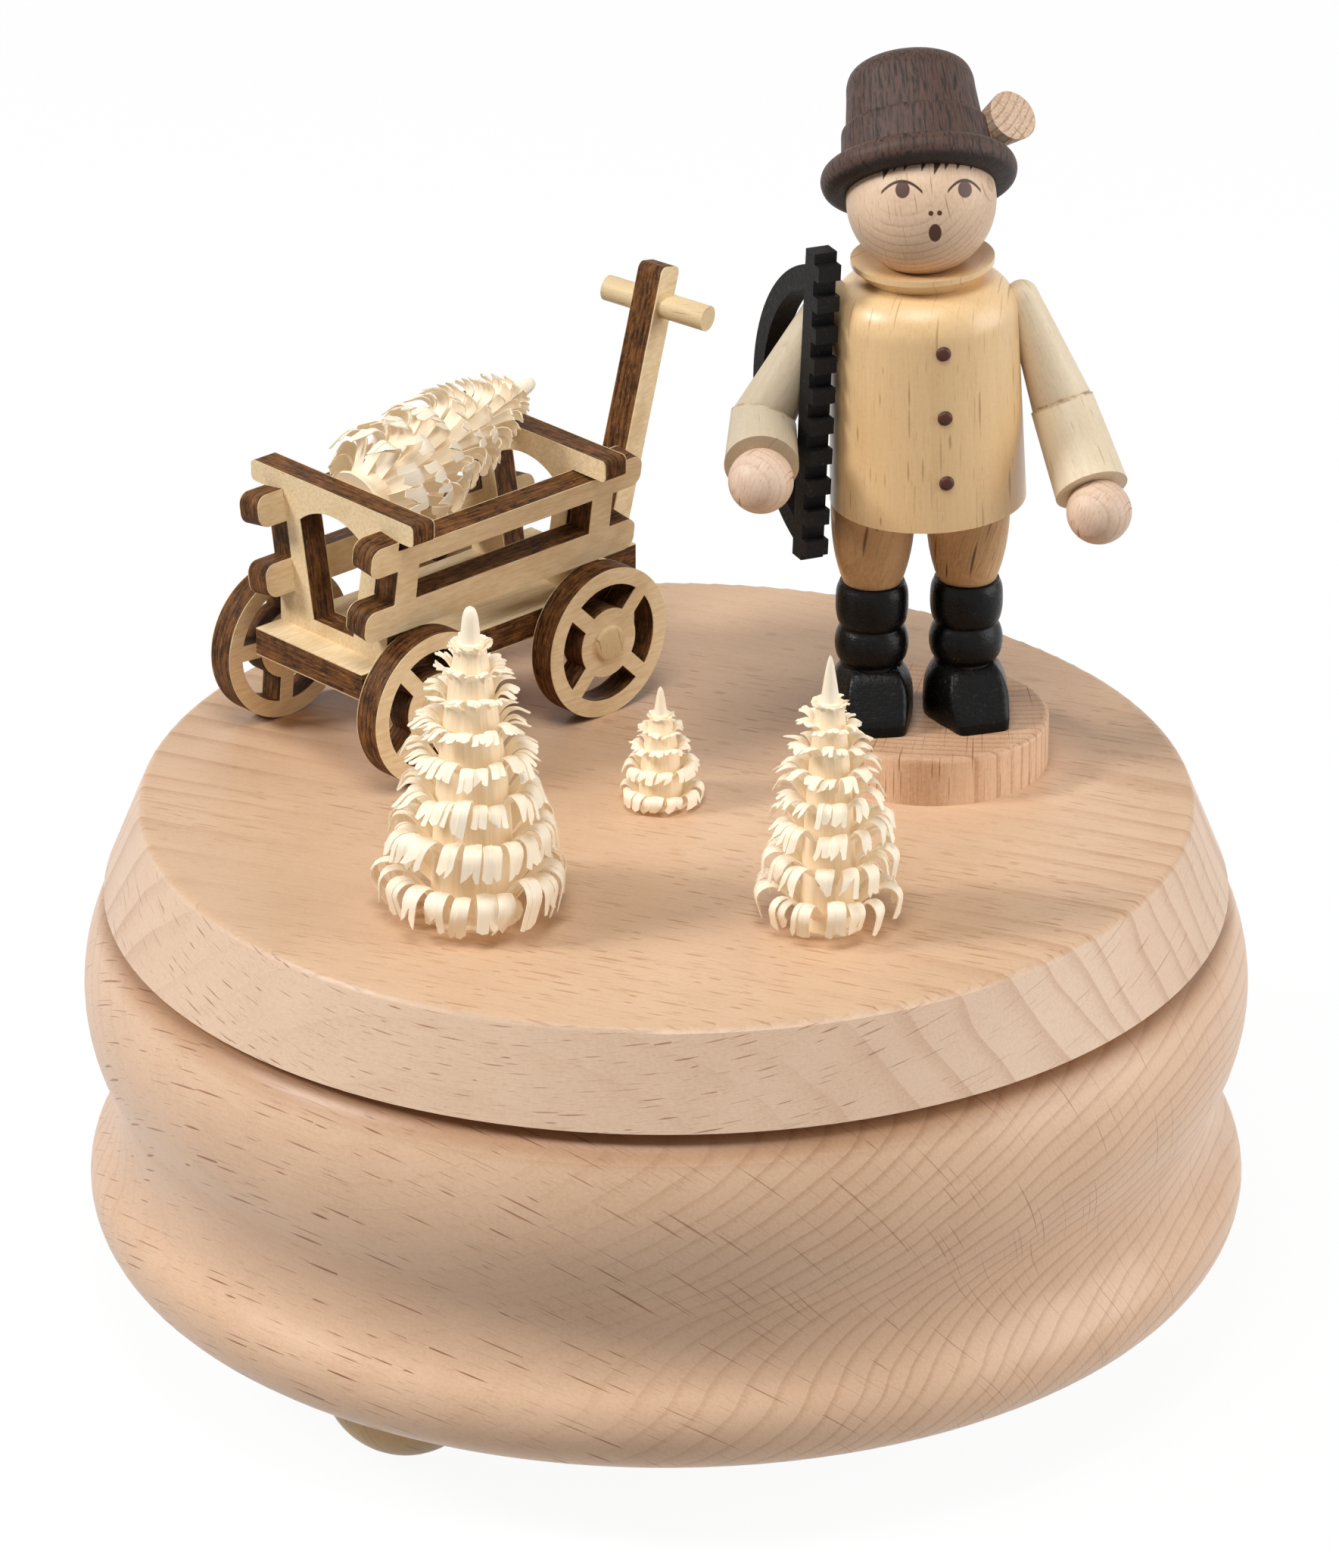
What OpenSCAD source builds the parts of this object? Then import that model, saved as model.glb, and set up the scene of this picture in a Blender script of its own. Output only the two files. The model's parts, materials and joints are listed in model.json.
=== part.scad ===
// Turned beech music box. The plate on top is turned by hand to wind the spring
// and turns back while the comb plays. It carries a woodman with a bow saw, a
// plywood handcart with a felled tree, and three shaved trees.
// Millimetres, +Z up, origin on the base axis at the level the feet stand on.

/* [Base] */
// Widest diameter of the turned base
base_d = 105; // [100:0.5:120]
// Height of the turned base
base_h = 32.7; // [29.5:0.1:37]
// Radius of the long upper swell
upper_swell_r = 16; // [14:0.5:24]
// Height of the upper swell's widest line over the underside
upper_swell_z = 24; // [23:0.5:27]
// Rounding of the base's top edge, which lies back under the plate
base_edge_r = 3.75; // [2:0.25:5]
// Radius of the short lower swell
lower_swell_r = 5; // [4.5:0.25:7]
// Radius of the cove between the two swells
cove_r = 8; // [6:0.5:12]
// Diameter of the hollow that takes the movement
hollow_d = 80; // [79:0.5:83]
// Height of the hollow over the underside
room_h = 26.7; // [26.6:0.1:27.5]
// Diameter of the bottom board
board_d = 87; // [85.5:0.5:90]
// Thickness of the bottom board
board_t = 4; // [2.5:0.1:4.2]
// Shank diameter of the bottom board's screws
board_screw_d = 1.6; // [1.2:0.1:2]

/* [Feet] */
// Diameter of the half-ball feet
foot_d = 15; // [12:0.5:17]
// Diameter of the flat that each foot stands on
foot_flat_d = 3; // [2:0.25:5]
// Diameter of the circle the feet stand on
foot_ring_d = 78; // [70:1:84]

/* [Turntable] */
// Diameter of the plate at its lower edge
plate_d = 101; // [98:0.5:110]
// Diameter of the plate's top face
plate_top_d = 94.2; // [88:0.2:97]
// Thickness of the plate
plate_t = 8.4; // [7:0.2:12]
// Height of the slit between base and plate
plate_gap = 0.5; // [0.4:0.05:1.5]
// Rounding of the plate's top edge
plate_edge_r = 0.8; // [0.3:0.1:1.5]

/* [Drive] */
// Diameter of the spindle that carries the plate
spindle_d = 4; // [3:0.1:4.6]
// Depth of the spindle in the plate
spindle_in = 6; // [4:0.25:6.5]
// Wall of the brass bush round the spindle
bush_wall = 1.5; // [1:0.1:2.5]
// Diameter of the glide washer under the plate
washer_d = 20; // [14:0.5:30]

/* [Movement] */
// Thickness of the cast bedplate
bed_t = 2.5; // [2:0.1:3.2]
// Diameter of the spring barrel
barrel_d = 22; // [18:0.5:22.5]
// Height of the spring barrel
barrel_h = 8; // [6.5:0.1:8.2]
// Wall of the spring barrel
barrel_wall = 0.8; // [0.5:0.1:1.2]
// Thickness of the mainspring strip
spring_t = 0.35; // [0.2:0.05:0.5]
// Pitch radius of the crown wheel's teeth
crown_r = 10.7; // [10:0.1:11]
// Diameter of the pinned cylinder
cylinder_d = 10.6; // [9:0.1:11]
// Length of the pinned cylinder
cylinder_len = 15; // [14:0.1:15.4]
// How far the pins stand out of the cylinder
pin_h = 0.5; // [0.3:0.05:0.7]
// Thickness of the comb's steel plate
comb_t = 0.6; // [0.4:0.05:1]
// Length of the longest comb tooth
tooth_len = 9; // [8:0.1:9.4]
// Radius of the governor's fan
fan_r = 3; // [2:0.1:3.2]

/* [Woodman] */
// Radius of the round stand
stand_r = 10.7; // [9.5:0.1:12]
// Thickness of the round stand
stand_h = 4.6; // [3:0.1:7]
// Distance between the two legs
leg_gap = 8.5; // [8:0.1:9]
// Radius of the boot rings
boot_r = 3.25; // [2.8:0.05:3.7]
// Height of a boot
boot_h = 13.1; // [12:0.1:16]
// Length of a trouser leg between boot and coat
leg_h = 8; // [5:0.1:10]
// Radius of the coat at its hem
hem_r = 8.75; // [8.2:0.05:9.2]
// Radius of the coat below the shoulders
chest_r = 8.3; // [7.6:0.05:9]
// Height of the coat up to the shoulders' start
coat_h = 17.5; // [16:0.1:22]
// Rounding of the shoulders
shoulder_r = 3.6; // [3:0.1:4.2]
// Radius of the collar's rim
collar_r = 6.35; // [5.8:0.05:7]
// Radius of the head
head_r = 6.6; // [6.2:0.05:7.2]
// Radius of the hat's brim
brim_r = 8.65; // [8:0.05:10]
// Height of the hat
hat_h = 11.2; // [10.4:0.1:14]
// Radius of a hand
hand_r = 2.9; // [2.6:0.05:3.1]
// Radius of the sleeve at the cuff
cuff_r = 3.3; // [3.1:0.05:3.3]
// Length of the bow saw
saw_len = 29; // [27:0.2:33]
// Thickness of the bow saw
saw_t = 2.2; // [1.6:0.1:2.2]

/* [Handcart] */
// Thickness of the plywood
ply_t = 2.6; // [2:0.1:2.8]
// Diameter of the wheels
cart_wheel_d = 14.3; // [13:0.1:15.5]
// Distance between the axles
wheelbase = 21.1; // [18:0.1:24]
// Diameter of the axle dowels
axle_d = 3; // [2.4:0.1:3.2]
// Length of the cart's floor
floor_len = 33.6; // [32:0.1:36]
// Width of the cart's floor
floor_w = 14.4; // [13.8:0.1:15]
// Outside distance between the two end boards
box_len = 25.8; // [25:0.1:27]
// Height of a side panel
side_h = 8.7; // [8:0.1:11]
// Height of the lower rail of a side panel
low_rail_h = 3.1; // [2.4:0.1:3.4]
// Height of the upper rail of a side panel
top_rail_h = 2.1; // [1.7:0.1:2.6]
// Length of the drawbar over the floor
drawbar_len = 26.7; // [20:0.1:32]

/* [Trees] */
// Height of the large tree
large_h = 29; // [26:0.5:34]
// Height of the medium tree
medium_h = 25.4; // [22:0.5:29]
// Height of the small tree
small_h = 11.2; // [9.5:0.1:13]
// Length of the felled tree on the cart
felled_h = 22.8; // [21:0.1:24]

/* [Hidden] */
$fn = 96;

// Fits
fit = 0.02;
run = 0.05;
cut = 1;

// Colours
beech = [0.87, 0.71, 0.55];
ply = [0.88, 0.77, 0.58];
shaving = [0.96, 0.90, 0.78];
brass = [0.80, 0.64, 0.30];
steel = [0.66, 0.67, 0.70];
zinc = [0.56, 0.56, 0.58];
black = [0.10, 0.10, 0.10];

// Levels of the base and the plate
foot_r = foot_d / 2;
foot_h = sqrt(pow(foot_r, 2) - pow(foot_flat_d / 2, 2));
base_r = base_d / 2;
base_top = foot_h + base_h;
roof_t = base_h - room_h;
ceiling = base_top - roof_t;
board_top = foot_h + board_t;
plate_z0 = base_top + plate_gap;
plate_z = plate_z0 + plate_t;
foot_turn = 234;
feet = 3;
board_screw_ring = (hollow_d + board_d) / 4;
board_screw_in = 5;

// Turned profile of the base: two swells joined by a cove tangent to both
upper_c = [base_r - upper_swell_r, upper_swell_z];
lower_c = [base_r - lower_swell_r, lower_swell_r];
cove_c = outer_meet(upper_c, upper_swell_r + cove_r, lower_c, lower_swell_r + cove_r);
edge_r = upper_swell_r - base_edge_r;
edge_rise = base_h - base_edge_r - upper_swell_z;
edge_c = upper_c + [sqrt(edge_r * edge_r - edge_rise * edge_rise), edge_rise];
edge_meet = upper_swell_z + edge_rise * upper_swell_r / edge_r;

// Spindle, bush and washer
spindle_r = spindle_d / 2;
bush_r = spindle_r + run + bush_wall;
bush_flange = 1.6;
bush_flange_t = 0.8;
washer_t = plate_gap - run;

// Movement, hung from the ceiling of the hollow
bed_z = ceiling - bed_t;
bed_boss_r = 17;
bed_margin = 1;
bed_back_y = -22;
bed_front_y = 15;
barrel_r = barrel_d / 2;
barrel_z = bed_z - barrel_h;
spring_turns = 5;
spring_steps = 18;
spring_gap = 0.6;
spring_end_gap = 0.4;
screw_d = 2.4;
screw_head_d = 4;
screw_head_t = 1.2;
screw_in = 0.6 * roof_t;
screw_end = 0.4;
comb_screw_in = 4;
screw_ring = 14.2;

// Gear train: crown wheel, cylinder pinion, cylinder wheel, governor pinion, worm wheel, worm
crown_teeth = 36;
pinion_teeth = 12;
wheel_teeth = 40;
gov_pinion_teeth = 10;
worm_wheel_teeth = 24;
wheel_t = 1.2;
wheel_gap = 0.35;
crown_tooth_h = 1.4;
crown_tooth_w = 1.4;
crown_rim = 1.3;
crown_z = barrel_z - wheel_gap - wheel_t;
pinion_r = crown_r * pinion_teeth / crown_teeth;
axis_z = crown_z - crown_tooth_h / 2 - pinion_r;
pinion_w = 3;
arbor_d = 2;
train_module = 0.28;
wheel_r = train_module * wheel_teeth / 2;
gov_pinion_r = train_module * gov_pinion_teeth / 2;
gov_turn = 60;
gov_y = (wheel_r + gov_pinion_r) * cos(gov_turn);
gov_z = axis_z + (wheel_r + gov_pinion_r) * sin(gov_turn);
gov_arbor_d = 1;
worm_wheel_r = 4;
worm_core_r = 0.9;
worm_throw = 0.4;
worm_turns = 5;
worm_pitch = 2 * PI * worm_wheel_r / worm_wheel_teeth;
worm_y = gov_y + worm_wheel_r + worm_core_r + run;
worm_arbor_d = 0.8;
fan_t = 0.5;

// Places of the train along the cylinder's axis
cheek_t = 1.2;
bracket_x = crown_r + crown_rim + 1;
bracket_half_w = 4;
cylinder_x = bracket_x + cheek_t + 0.8;
cylinder_wheel_x = cylinder_x + cylinder_len + 0.6;
worm_wheel_x = cylinder_wheel_x + 2 * wheel_t;
outer_cheek_x = worm_wheel_x + 2.2;
inner_post_x = cylinder_wheel_x - 2.2;
worm_x = worm_wheel_x + wheel_t / 2;
worm_post_y = worm_y + fan_r + 1.2;
worm_low_z = board_top + 0.5;

// Comb
notes = 18;
note_pitch = cylinder_len / notes;
comb_slot = 0.25;
comb_tip_gap = 0.15;
comb_tip_y = -(cylinder_d / 2 + pin_h + comb_tip_gap);
comb_body = 6;
comb_root_y = comb_tip_y - tooth_len;
comb_screw_d = 1.8;
pin_d = 0.35;
pins_per_note = 3;

// Woodman
fig_x = 23.3;
fig_y = 7.3;
fig_turn = 5;
fig_lean = 2;
stand_shift = [0.5, 0.2];
legs_shift = -0.65;
stand_edge = 0.5;
stand_z = plate_z + stand_h;
boot_z = stand_z + boot_h;
hem_z = boot_z + leg_h;
foot_part = 0.41;
low_ring_part = 0.27;
boot_ring_edge = 1.2;
toe_out = 5.5;
toe_w = 4.7;
toe_h = 1.4;
ankle_r = 2.65;
thigh_r = 3.8;
neck_r = 4.6;
collar_t = 0.5;
collar_rise = 2;
shoulder_z = hem_z + coat_h;
collar_z = shoulder_z + shoulder_r + collar_rise - 0.3;
head_z = collar_z + head_r - 1.3;
hat_tilt = -41;
hat_roll = 0;
hat_seat = 1.3;
brim_t = 2.3;
band_r = 6.6;
band_top_r = 6.3;
band_h = 4.1;
crown_base_r = 6.05;
crown_top_r = 5.6;
tuft_r = 1.5;
tuft_end_r = 2.4;
tuft_len = 4.9;
hat_edge_r = 2.2;

// Arms, in the woodman's own frame: shoulder, elbow and wrist of each
shoulder_arm_r = 1.5;
elbow_r = 2.75;
arm_z = shoulder_z + 2;
left_shoulder = [chest_r - 0.2, 0.2, arm_z - 0.9];
left_elbow = left_shoulder + [3.7, -0.3, -10.1];
left_wrist = left_elbow + [1.9, -6.7, -5.7];
right_shoulder = [-chest_r - 0.5, 0.6, arm_z - 0.2];
right_elbow = right_shoulder + [-5.95, -0.3, -11.6];
right_wrist = right_elbow + [-0.75, -6.3, -1.8];
hand_out = 2.2;
elbow_past = 3;
mitre_room = 30;

// Bow saw
saw_bar = 1.7;
saw_tooth = 0.9;
saw_teeth = 9;
saw_bow = 1.9;
saw_depth = 9;
saw_span = 26;
saw_hang = 9.69;
saw_turn = 21;
saw_lean = 2;
saw_chord = saw_len - 3;
saw_sag = saw_depth * max(1, saw_span / saw_chord);
saw_r = (pow(saw_chord / 2, 2) + pow(saw_sag, 2)) / (2 * saw_sag);
saw_at = right_elbow + [4.06, -3.6, saw_hang - 0.75 * saw_len];

// Handcart
cart_at = [-19.8, 16.7];
cart_yaw = 43.4;
cart_wheel_r = cart_wheel_d / 2;
axle_r = axle_d / 2;
floor_z = cart_wheel_r + axle_r + 0.15;
floor_top = floor_z + ply_t;
track_in = floor_w / 2 + 0.25;
far_out = 2.5;
wheel_rim = 1.55;
wheel_hub_r = 3.3;
spoke_w = 1.5;
tongue_len = 4.4;
tongue_w = 4.6;
wheel_clear = 0.12;
end_low_w = 5.15;
end_lean = 8.5;
bar_h = 2;
tail_gap = 0.5;
head_gap = 0.05;
bar_over = 1.85;
bar_edge = 0.5;
window_low = 2.7;
window_sill = 1.3;
window_rise = 1.6;
window_drop = 1.9;
leg_w = 2.1;
side_z = cart_wheel_d + wheel_clear + ply_t * sin(end_lean);
box_tail = -13.8;
tail_over = 3.1;
front_over = 3.7;
post_w = 2.5;
horn_len = 3.3;
horn_r = 1.1;
horn_up = 0.9;
rail_z = side_z + side_h * cos(end_lean);
drawbar_w = 3;
drawbar_edge = 0.7;
drawbar_lean = 15.5;
drawbar_x = floor_len / 2 + tongue_len - drawbar_w / 2 - 1.1;
handle_d = 2.4;
handle_len = 11;
handle_down = 3.6;
handle_shift = 0.6;
drawbar_twist = 14;

// Trees: place, radius of the core at foot and tip, reach of the widest tier
large_at = [-16.7, -24.8];
large_core = 3.7;
large_tip = 1.25;
large_reach = 7.9;
medium_at = [14, -27];
medium_core = 2.7;
medium_tip = 1;
medium_reach = 6;
small_at = [-0.5, -2];
small_core = 1.9;
small_tip = 0.8;
small_reach = 3.7;
felled_at = [-10.4, 0.3, 12.5];
felled_rise = 13.5;
felled_turn = 2;
felled_core = 3.1;
felled_tip = 1.1;
felled_reach = 6;
// Share of a tier that its ribbons take, their thickness and that of their roots
ribbon_share = 0.72;
ribbon_t = 0.34;
root_band = 0.45;

// The outer one of the two points at distance ra from a and rb from b
function outer_meet(a, ra, b, rb) =
    let (d = b - a, l = norm(d), x = (l * l + ra * ra - rb * rb) / (2 * l), h = sqrt(ra * ra - x * x))
    a + d / l * x + [-d[1], d[0]] / l * h;
function unit(v) = v / norm(v);

// Turns the Z axis to direction d
module along(d) {
    rotate([0, acos(unit(d)[2]), atan2(d[1], d[0])]) children();
}

module turned_disc(r, h, e) {
    rotate_extrude() {
        square([r - e, h]);
        square([r, h - e]);
        translate([r - e, h - e]) circle(e);
    }
}

// Half section of a ring rounded at both edges
module ring_section(r, h, e) {
    square([r - e, h]);
    translate([0, e]) square([r, h - 2 * e]);
    for (z = [e, h - e])
        translate([r - e, z]) circle(e);
}

module base_section() {
    intersection() {
        union() {
            square([base_r, edge_meet]);
            square([edge_c[0], base_h]);
            translate(edge_c) circle(base_edge_r);
        }
        difference() {
            union() {
                square([lower_c[0], base_h]);
                translate(upper_c) circle(upper_swell_r);
                translate(lower_c) circle(lower_swell_r);
                polygon([upper_c, lower_c, cove_c]);
            }
            translate(cove_c) circle(cove_r);
        }
    }
}

module screw_places() {
    for (a = [120, 180, 240])
        rotate(a) translate([screw_ring, 0, 0]) children();
}

module board_screw_places() {
    for (i = [0 : feet - 1])
        rotate(foot_turn + 60 + 360 / feet * i) translate([board_screw_ring, 0, 0]) children();
}

module base_body() {
    color(beech) difference() {
        translate([0, 0, foot_h]) rotate_extrude() base_section();
        translate([0, 0, foot_h - cut]) cylinder(d = board_d + 2 * fit, h = board_t + cut);
        translate([0, 0, foot_h]) cylinder(d = hollow_d, h = room_h);
        cylinder(r = bush_r + fit, h = base_top + cut);
        translate([0, 0, base_top - bush_flange_t])
            cylinder(r = bush_r + bush_flange + fit, h = bush_flange_t + cut);
        translate([0, 0, ceiling - cut]) screw_places() cylinder(d = screw_d + 2 * fit, h = screw_in + cut);
        translate([0, 0, board_top - cut]) board_screw_places()
            cylinder(d = board_screw_d + 2 * fit, h = board_screw_in + cut);
    }
}

module bottom_board() {
    color(ply) difference() {
        translate([0, 0, foot_h]) cylinder(d = board_d, h = board_t);
        translate([0, 0, foot_h - cut]) board_screw_places() {
            cylinder(d = board_screw_d + 2 * fit, h = board_t + 2 * cut);
            cylinder(d = 2 * board_screw_d + 2 * fit, h = cut + board_screw_d);
        }
    }
}

module board_screws() {
    color(steel) translate([0, 0, foot_h]) board_screw_places() {
        cylinder(d = board_screw_d, h = board_t + board_screw_in);
        translate([0, 0, board_screw_d / 2]) cylinder(d = 2 * board_screw_d, h = board_screw_d / 2);
    }
}

module ball_feet() {
    color([0.66, 0.60, 0.42]) for (i = [0 : feet - 1])
        rotate(foot_turn + 360 / feet * i) translate([foot_ring_d / 2, 0, foot_h]) intersection() {
            sphere(foot_r);
            translate([0, 0, -foot_h]) cylinder(r = foot_d, h = foot_h);
        }
}

module spindle_bush() {
    color(brass) difference() {
        union() {
            translate([0, 0, ceiling]) cylinder(r = bush_r, h = roof_t);
            translate([0, 0, base_top - bush_flange_t]) cylinder(r = bush_r + bush_flange, h = bush_flange_t);
        }
        translate([0, 0, ceiling - cut]) cylinder(r = spindle_r + run, h = roof_t + 2 * cut);
    }
}

module glide_washer() {
    color([0.93, 0.92, 0.88]) difference() {
        translate([0, 0, base_top]) cylinder(d = washer_d, h = washer_t);
        translate([0, 0, base_top - cut]) cylinder(r = spindle_r + run, h = washer_t + 2 * cut);
    }
}

module comb_screw_places() {
    for (s = [0.22, 0.78])
        translate([cylinder_x + cylinder_len * s, comb_root_y - comb_body / 2, 0]) children();
}

module bedplate() {
    color(zinc) difference() {
        union() {
            translate([0, 0, bed_z]) intersection() {
                union() {
                    cylinder(r = bed_boss_r, h = bed_t);
                    translate([0, bed_back_y, 0]) cube([hollow_d / 2, bed_front_y - bed_back_y, bed_t]);
                }
                cylinder(d = hollow_d - 2 * bed_margin, h = bed_t);
            }
            translate([cylinder_x, comb_root_y - comb_body, axis_z + comb_t / 2])
                cube([cylinder_len, comb_body, bed_z - axis_z - comb_t / 2 + cut]);
        }
        translate([0, 0, bed_z - cut]) cylinder(r = spindle_r + run, h = bed_t + 2 * cut);
        translate([0, 0, bed_z - cut]) screw_places() cylinder(d = screw_d + 2 * fit, h = bed_t + 2 * cut);
        translate([0, 0, axis_z]) comb_screw_places() cylinder(d = comb_screw_d + 2 * fit, h = comb_screw_in);
    }
}

module movement_screws() {
    color(steel) screw_places() {
        translate([0, 0, bed_z]) cylinder(d = screw_d, h = bed_t + screw_in - screw_end);
        translate([0, 0, bed_z - screw_head_t]) cylinder(d = screw_head_d, h = screw_head_t);
    }
}

module spring_barrel() {
    color(brass) difference() {
        translate([0, 0, barrel_z]) cylinder(r = barrel_r, h = barrel_h);
        translate([0, 0, barrel_z + barrel_wall]) cylinder(r = barrel_r - barrel_wall, h = barrel_h);
        translate([0, 0, barrel_z - cut]) cylinder(r = spindle_r + run, h = barrel_h);
    }
}

// Strip wound as an even spiral from the spindle out to the barrel's wall
module mainspring() {
    inner = spindle_r + spring_gap;
    outer = barrel_r - barrel_wall - spring_t - run;
    count = spring_turns * spring_steps;
    spiral = [for (i = [0 : count])
        let (a = 360 * i / spring_steps, r = inner + (outer - inner) * i / count)
        [r * cos(a), r * sin(a)]];
    back = [for (i = [count : -1 : 0])
        let (a = 360 * i / spring_steps, r = inner + spring_t + (outer - inner) * i / count)
        [r * cos(a), r * sin(a)]];
    color(steel) translate([0, 0, barrel_z + barrel_wall + spring_end_gap])
        linear_extrude(barrel_h - barrel_wall - 2 * spring_end_gap)
            polygon(concat(spiral, back));
}

module comb() {
    color(steel) difference() {
        translate([cylinder_x, comb_root_y - comb_body, axis_z - comb_t / 2])
            cube([cylinder_len, comb_body + tooth_len, comb_t]);
        for (i = [1 : notes - 1])
            translate([cylinder_x + note_pitch * i - comb_slot / 2,
                       comb_root_y + 0.12 * i, axis_z - comb_t])
                cube([comb_slot, tooth_len + cut, 2 * comb_t]);
        translate([0, 0, axis_z - comb_t]) comb_screw_places()
            cylinder(d = comb_screw_d + 2 * fit, h = 2 * comb_t);
    }
}

module comb_screws() {
    color(steel) comb_screw_places() {
        translate([0, 0, axis_z - comb_t / 2]) cylinder(d = comb_screw_d, h = comb_screw_in - screw_end);
        translate([0, 0, axis_z - comb_t / 2 - screw_head_t])
            cylinder(d = 2 * comb_screw_d, h = screw_head_t);
    }
}

module cylinder_bracket() {
    color(zinc) difference() {
        translate([bracket_x, -bracket_half_w, axis_z - arbor_d])
            cube([cheek_t, 2 * bracket_half_w, bed_z - axis_z + arbor_d]);
        translate([bracket_x - cut, 0, axis_z]) rotate([0, 90, 0])
            cylinder(d = arbor_d + 2 * run, h = cheek_t + 2 * cut);
    }
}

// Cheek, post and arms that carry the cylinder's outer end, the worm wheel and the worm
module governor_frame() {
    web_y = gov_y + 1;
    color(zinc) difference() {
        union() {
            translate([outer_cheek_x, -arbor_d, axis_z - arbor_d])
                cube([cheek_t, web_y + arbor_d, bed_z - axis_z + arbor_d]);
            translate([inner_post_x, gov_y - 0.7, gov_z - 0.75]) cube([cheek_t, 1.7, bed_z - gov_z + 0.75]);
            translate([inner_post_x, gov_y - 0.7, bed_z - cheek_t])
                cube([outer_cheek_x + cheek_t - inner_post_x, 1.7, cheek_t]);
            translate([worm_x - 1, worm_post_y, worm_low_z]) cube([2, cheek_t, bed_z - worm_low_z]);
            translate([worm_x - 1, gov_y, bed_z - cheek_t]) cube([2, worm_post_y - gov_y + cut, cheek_t]);
            for (z = [worm_low_z, bed_z - 3])
                translate([worm_x - 1, worm_y - 1, z]) cube([2, worm_post_y - worm_y + 1 + cut, 1]);
        }
        translate([outer_cheek_x - cut, 0, axis_z]) rotate([0, 90, 0])
            cylinder(d = arbor_d + 2 * run, h = cheek_t + 2 * cut);
        translate([inner_post_x - cut, gov_y, gov_z]) rotate([0, 90, 0])
            cylinder(d = gov_arbor_d + 2 * run, h = outer_cheek_x - inner_post_x + cheek_t + 2 * cut);
        translate([worm_x, worm_y, worm_low_z - cut])
            cylinder(d = worm_arbor_d + 2 * run, h = bed_z - worm_low_z - cheek_t + cut / 2);
    }
}

module drive_spindle() {
    color(steel) translate([0, 0, crown_z - 0.6])
        cylinder(r = spindle_r, h = plate_z0 + spindle_in - fit - crown_z + 0.6);
}

// Face gear: radial teeth under a disc, each a wedge that narrows towards its tip
module crown_wheel() {
    tip_w = 0.55;
    root_w = 0.8;
    color(brass) translate([0, 0, crown_z]) {
        difference() {
            cylinder(r = crown_r + crown_rim, h = wheel_t);
            translate([0, 0, -cut]) cylinder(r = spindle_r + fit, h = wheel_t + 2 * cut);
        }
        for (i = [0 : crown_teeth - 1])
            rotate(360 / crown_teeth * i) translate([crown_r - crown_tooth_w / 2, 0, 0]) rotate([90, 0, 90])
                linear_extrude(crown_tooth_w)
                    polygon([[-root_w / 2, 0.1], [-tip_w / 2, -crown_tooth_h],
                             [tip_w / 2, -crown_tooth_h], [root_w / 2, 0.1]]);
    }
}

// Spur wheel with wedge teeth: pitch radius r, tooth thickness as a share of the pitch
module spur(r, teeth, addendum, dedendum, share, w, turn = 0) {
    step = 360 / teeth;
    base = step * share * 0.62;
    tip = step * share * 0.30;
    linear_extrude(w) rotate(turn) polygon([for (i = [0 : teeth - 1]) each [
        (r - dedendum) * [cos(step * i - base), sin(step * i - base)],
        (r + addendum) * [cos(step * i - tip), sin(step * i - tip)],
        (r + addendum) * [cos(step * i + tip), sin(step * i + tip)],
        (r - dedendum) * [cos(step * i + base), sin(step * i + base)]]]);
}

// Lays a wheel on the cylinder's direction: its own X axis points up
module on_axis(x, y, z) {
    translate([x, y, z]) rotate([0, 90, 0]) rotate(180) children();
}

module pinned_cylinder() {
    color(brass) difference() {
        union() {
            on_axis(cylinder_x, 0, axis_z) cylinder(d = cylinder_d, h = cylinder_len);
            for (i = [0 : notes - 1], k = [0 : pins_per_note - 1])
                translate([cylinder_x + note_pitch * (i + 0.5), 0, axis_z])
                    rotate([(i * 137 + k * 360 / pins_per_note) % 360, 0, 0])
                        cylinder(d = pin_d, h = cylinder_d / 2 + pin_h, $fn = 16);
        }
        on_axis(cylinder_x - cut, 0, axis_z) cylinder(d = arbor_d + 2 * fit, h = cylinder_len + 2 * cut);
    }
}

module cylinder_arbor() {
    pinion_x = crown_r - pinion_w / 2;
    color(steel) {
        on_axis(pinion_x, 0, axis_z) cylinder(d = arbor_d, h = outer_cheek_x + cheek_t - pinion_x);
        on_axis(pinion_x, 0, axis_z)
            spur(pinion_r, pinion_teeth, 0.5, 0.85, 0.42, pinion_w, 180 / pinion_teeth);
    }
}

module cylinder_wheel() {
    color(brass) difference() {
        on_axis(cylinder_wheel_x, 0, axis_z) spur(wheel_r, wheel_teeth, 0.24, 0.36, 0.40, wheel_t);
        on_axis(cylinder_wheel_x - cut, 0, axis_z) cylinder(d = arbor_d + 2 * fit, h = wheel_t + 2 * cut);
    }
}

module governor_wheel() {
    color(brass) {
        on_axis(inner_post_x, gov_y, gov_z)
            cylinder(d = gov_arbor_d, h = outer_cheek_x + cheek_t - inner_post_x);
        on_axis(cylinder_wheel_x - 0.2, gov_y, gov_z)
            spur(gov_pinion_r, gov_pinion_teeth, 0.24, 0.36, 0.40, wheel_t + 0.4,
                 gov_mesh_turn);
        on_axis(worm_wheel_x, gov_y, gov_z)
            spur(worm_wheel_r, worm_wheel_teeth, 0.33, 0.5, 0.32, wheel_t, worm_mesh_turn);
    }
}

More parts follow.
